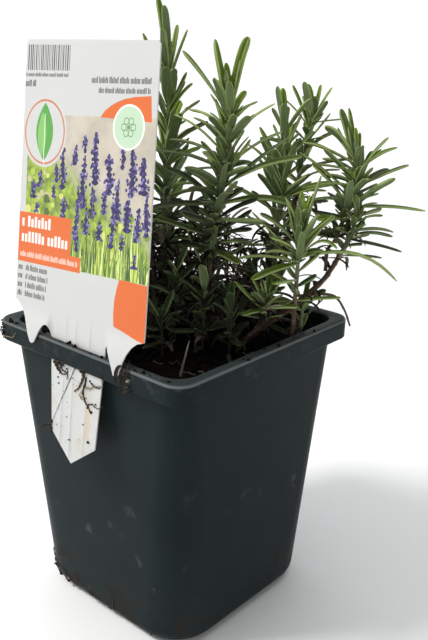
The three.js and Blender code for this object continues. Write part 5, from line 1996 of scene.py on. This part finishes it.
# %% Roots on the tag and the walls
# each root: what it lies on, its start, heading, length, thickness, wandering and seed
ROOTS = [
    (on_tongue, (1.4, -7.5), -2.05, 24, 0.12, 0.08, 1),
    (on_tongue, (-8.5, -8.5), 0.2, 9, 0.32, 0.5, 2),
    (on_tongue, (-6.0, -8.0), -0.6, 7, 0.28, 0.5, 3),
    (on_tongue, (5.5, -8.0), -1.4, 9, 0.5, 0.35, 4),
    (on_tongue, (7.0, -9.0), -1.2, 14, 0.42, 0.3, 5),
    (on_tongue, (8.5, -18.0), 0.1, 9, 0.22, 0.35, 6),
    (on_tongue, (9.5, -10.5), -0.2, 6, 0.24, 0.4, 7),
    (on_tongue, (-9.4, -27.5), -1.4, 6, 0.42, 0.6, 8),
    (on_tongue, (-9.8, -29.5), -1.0, 5, 0.36, 0.7, 9),
    (on_tongue, (-9.5, -7.6), -0.2, 6, 0.45, 0.7, 18),
    (on_tongue, (-7.6, -7.4), -0.9, 5, 0.40, 0.8, 19),
    (on_tongue, (6.2, -7.6), -1.9, 8, 0.45, 0.6, 20),
    (on_tongue, (7.2, -12.5), -0.6, 8, 0.30, 0.7, 21),
    (on_tongue, (6.0, -15.0), -1.2, 7, 0.26, 0.8, 22),
    (on_skirt, (-12, 98.6), -0.1, 9, 0.16, 0.4, 23),
    (on_skirt, (9, 99.5), 0.2, 7, 0.14, 0.4, 24),
    (on_skirt, (-40, 100), -0.9, 9, 0.26, 0.5, 10),
    (on_skirt, (-41, 103), -1.6, 8, 0.22, 0.5, 11),
    (on_front_wall, (-31, 12), -1.2, 12, 0.22, 0.35, 12),
    (on_front_wall, (-30, 8), -0.9, 16, 0.26, 0.35, 13),
    (on_front_wall, (-27, 9), -0.7, 15, 0.18, 0.4, 14),
    (on_front_wall, (-20, 5), -0.4, 18, 0.22, 0.3, 15),
    (on_front_wall, (-8, 4), -0.3, 14, 0.2, 0.3, 16),
    (on_front_wall, (2, 3), -0.2, 13, 0.2, 0.3, 17),
]
roots = Body()
for onto, start, heading, length, thick, loose, seed in ROOTS:
    points = wander(start, heading, length, seed, onto, loose=loose)
    uneven = 1 + 0.25 * np.sin(np.arange(len(points)) * 1.7 + seed)
    radii = thick * np.linspace(1, 0.4, len(points)) * uneven
    roots.rings(tube_rings(points, radii, 7), tint=chance(seed, 80))
print("roots on the tag and the walls:", roots.count, "points")


# %% Roots in the compost
SOIL_ROOTS = 90
ROOT_STEPS = 12


def on_soil(x, y, off):
    return (x, y, float(soil_top(x, y)) + 0.2 + off)


for k in range(SOIL_ROOTS):
    reach = WALL_TOP - WALL - 3
    x, y = spread(k, 81, -reach, reach), spread(k, 82, -reach, reach)
    heading = spread(k, 83, 0, 2 * math.pi)
    if max(abs(x), abs(y)) > reach - 8:
        heading = math.atan2(-y, -x)
    points = wander((x, y), heading, spread(k, 84, 3, 9), k, on_soil, steps=ROOT_STEPS)
    radii = np.linspace(0.24, 0.1, ROOT_STEPS) * spread(k, 85, 0.6, 1.4)
    roots.rings(tube_rings(points, radii, 6), tint=chance(k, 86))
roots.piece("fine_roots", "bark", None, fine_root, crease=60)
print("roots", roots.count, "points")

# %% [markdown]
# One dead leaf has caught on the rim beside the tag's hook, curled and nearly black. It is three
# narrow strips made by the same call as the other dried leaves, with a few crumbs that cling to it.

# %% The dead leaf on the rim
caught = Body()
CAUGHT_AT = [
    (21.0, -44.6, RIM_HEIGHT + 0.4),
    (22.2, -45.3, RIM_HEIGHT - 2.0),
    (19.0, -44.2, RIM_HEIGHT + 0.3),
]
add_curled_leaf(caught, CAUGHT_AT[0], math.radians(-80), 0.5, 8.5, 1.3, 3.0, 0.5, 12, tint=0)
add_curled_leaf(caught, CAUGHT_AT[1], math.radians(-60), -0.6, 7.5, 0.9, 1.8, -1.1, 13, tint=0)
add_curled_leaf(caught, CAUGHT_AT[2], math.radians(20), 0.5, 7.0, 0.8, 1.6, -1.8, 15, tint=0)
for k in range(16):
    at = (spread(k, 90, 19.5, 24.5), -RIM_HALF - 0.2, RIM_HEIGHT - spread(k, 91, 0.5, 8.0))
    add_crumb(caught, at, 0.3 + 0.6 * chance(k, 92) ** 2, k)
caught.piece("caught_leaf", "dried_leaf", None, dried_leaf, crease=60)
print("caught leaf placed")

# %% [markdown]
# ## Floor and light
#
# The part is shown on a plain pale floor in soft light, so that nothing competes with it. One lamp
# stands high on the tag's side and lights the tagged wall. A weak one hangs above the plant. The
# pale sky is brighter on the tag's side, so the wall on the right stays darker without a hard
# shadow. Far from the pot the floor glows a little, because lamps this close would leave it grey
# there.


# %% Floor
FAR_GLOW = 0.42
# radius and height, in metres
FLOOR_RINGS = ((0.05, 0), (0.6, 0), (1.6, 0), (2.6, 0.02), (3.2, 0.12), (3.6, 0.4), (3.8, 1.2))


def floor_finish():
    finish = Finish("studio_floor", roughness=0.9, Specular_IOR_Level=0.2)
    finish.paint(finish.mix(finish.noise(3, 2), (0.92, 0.92, 0.915), (0.95, 0.95, 0.945)))
    x, y = (finish.part_of(finish.place(), axis) for axis in "XY")
    away = finish.math("SQRT", x * x + y * y)
    finish.shader.inputs["Emission Color"].default_value = (1, 1, 1, 1)
    finish.feed(finish.shader.inputs["Emission Strength"], away.above(0.85, 0.9) * FAR_GLOW)
    return finish


def studio_floor():
    """A disc that rises far away, so that no edge shows."""
    turns = [math.radians(a) for a in range(0, 360, 5)]
    rings = []
    for radius, z in FLOOR_RINGS:
        rings.append([(radius * math.cos(a), radius * math.sin(a), z) for a in turns])
    mesh = bpy.data.meshes.new("floor")
    count = len(turns)
    faces = [tuple(range(count))]
    for k in range(len(rings) - 1):
        for i in range(count):
            j = (i + 1) % count
            faces.append((k * count + i, (k + 1) * count + i, (k + 1) * count + j, k * count + j))
    mesh.from_pydata([p for ring in rings for p in ring], [], faces)
    mesh.materials.append(floor_finish().material)
    mesh.polygons.foreach_set("use_smooth", [True] * len(mesh.polygons))
    floor = bpy.data.objects.new("floor", mesh)
    bpy.context.scene.collection.objects.link(floor)
    return floor


floor = studio_floor()
print("floor laid")


# %% Lamps
def lamp(name, at, aim, size, power, colour):
    light = bpy.data.lights.new(name, "AREA")
    light.shape = "DISK"
    light.size = size
    light.energy = power
    light.color = colour
    made = bpy.data.objects.new(name, light)
    made.location = at
    made.rotation_euler = (Vector(aim) - Vector(at)).to_track_quat("-Z", "Y").to_euler()
    bpy.context.scene.collection.objects.link(made)
    return made


middle = (0, 0, 0.11)
lamp("key_lamp", (-0.45, -0.62, 1.0), middle, 0.3, 10.8, (1.0, 0.985, 0.96))
lamp("top_lamp", (0.15, 0.25, 1.1), middle, 0.5, 1.5, (1.0, 1.0, 1.0))

# %% Sky
world = bpy.data.worlds.new("pale_sky")
world.use_nodes = True
sky = world.node_tree.nodes["Background"]
where = world.node_tree.nodes.new("ShaderNodeTexCoord")
apart = world.node_tree.nodes.new("ShaderNodeSeparateXYZ")
ramp = world.node_tree.nodes.new("ShaderNodeMapRange")
world.node_tree.links.new(where.outputs["Generated"], apart.inputs[0])
world.node_tree.links.new(apart.outputs["X"], ramp.inputs["Value"])
for socket, number in (("From Min", -0.5), ("From Max", 0.7), ("To Min", 1.0), ("To Max", 0.16)):
    ramp.inputs[socket].default_value = number
world.node_tree.links.new(ramp.outputs["Result"], sky.inputs["Strength"])
sky.inputs["Color"].default_value = (0.96, 0.98, 1.0, 1)
bpy.context.scene.world = world
bpy.context.scene.view_settings.view_transform = "Standard"
print("sky strength", [round(ramp.inputs[key].default_value, 2) for key in ("To Min", "To Max")])
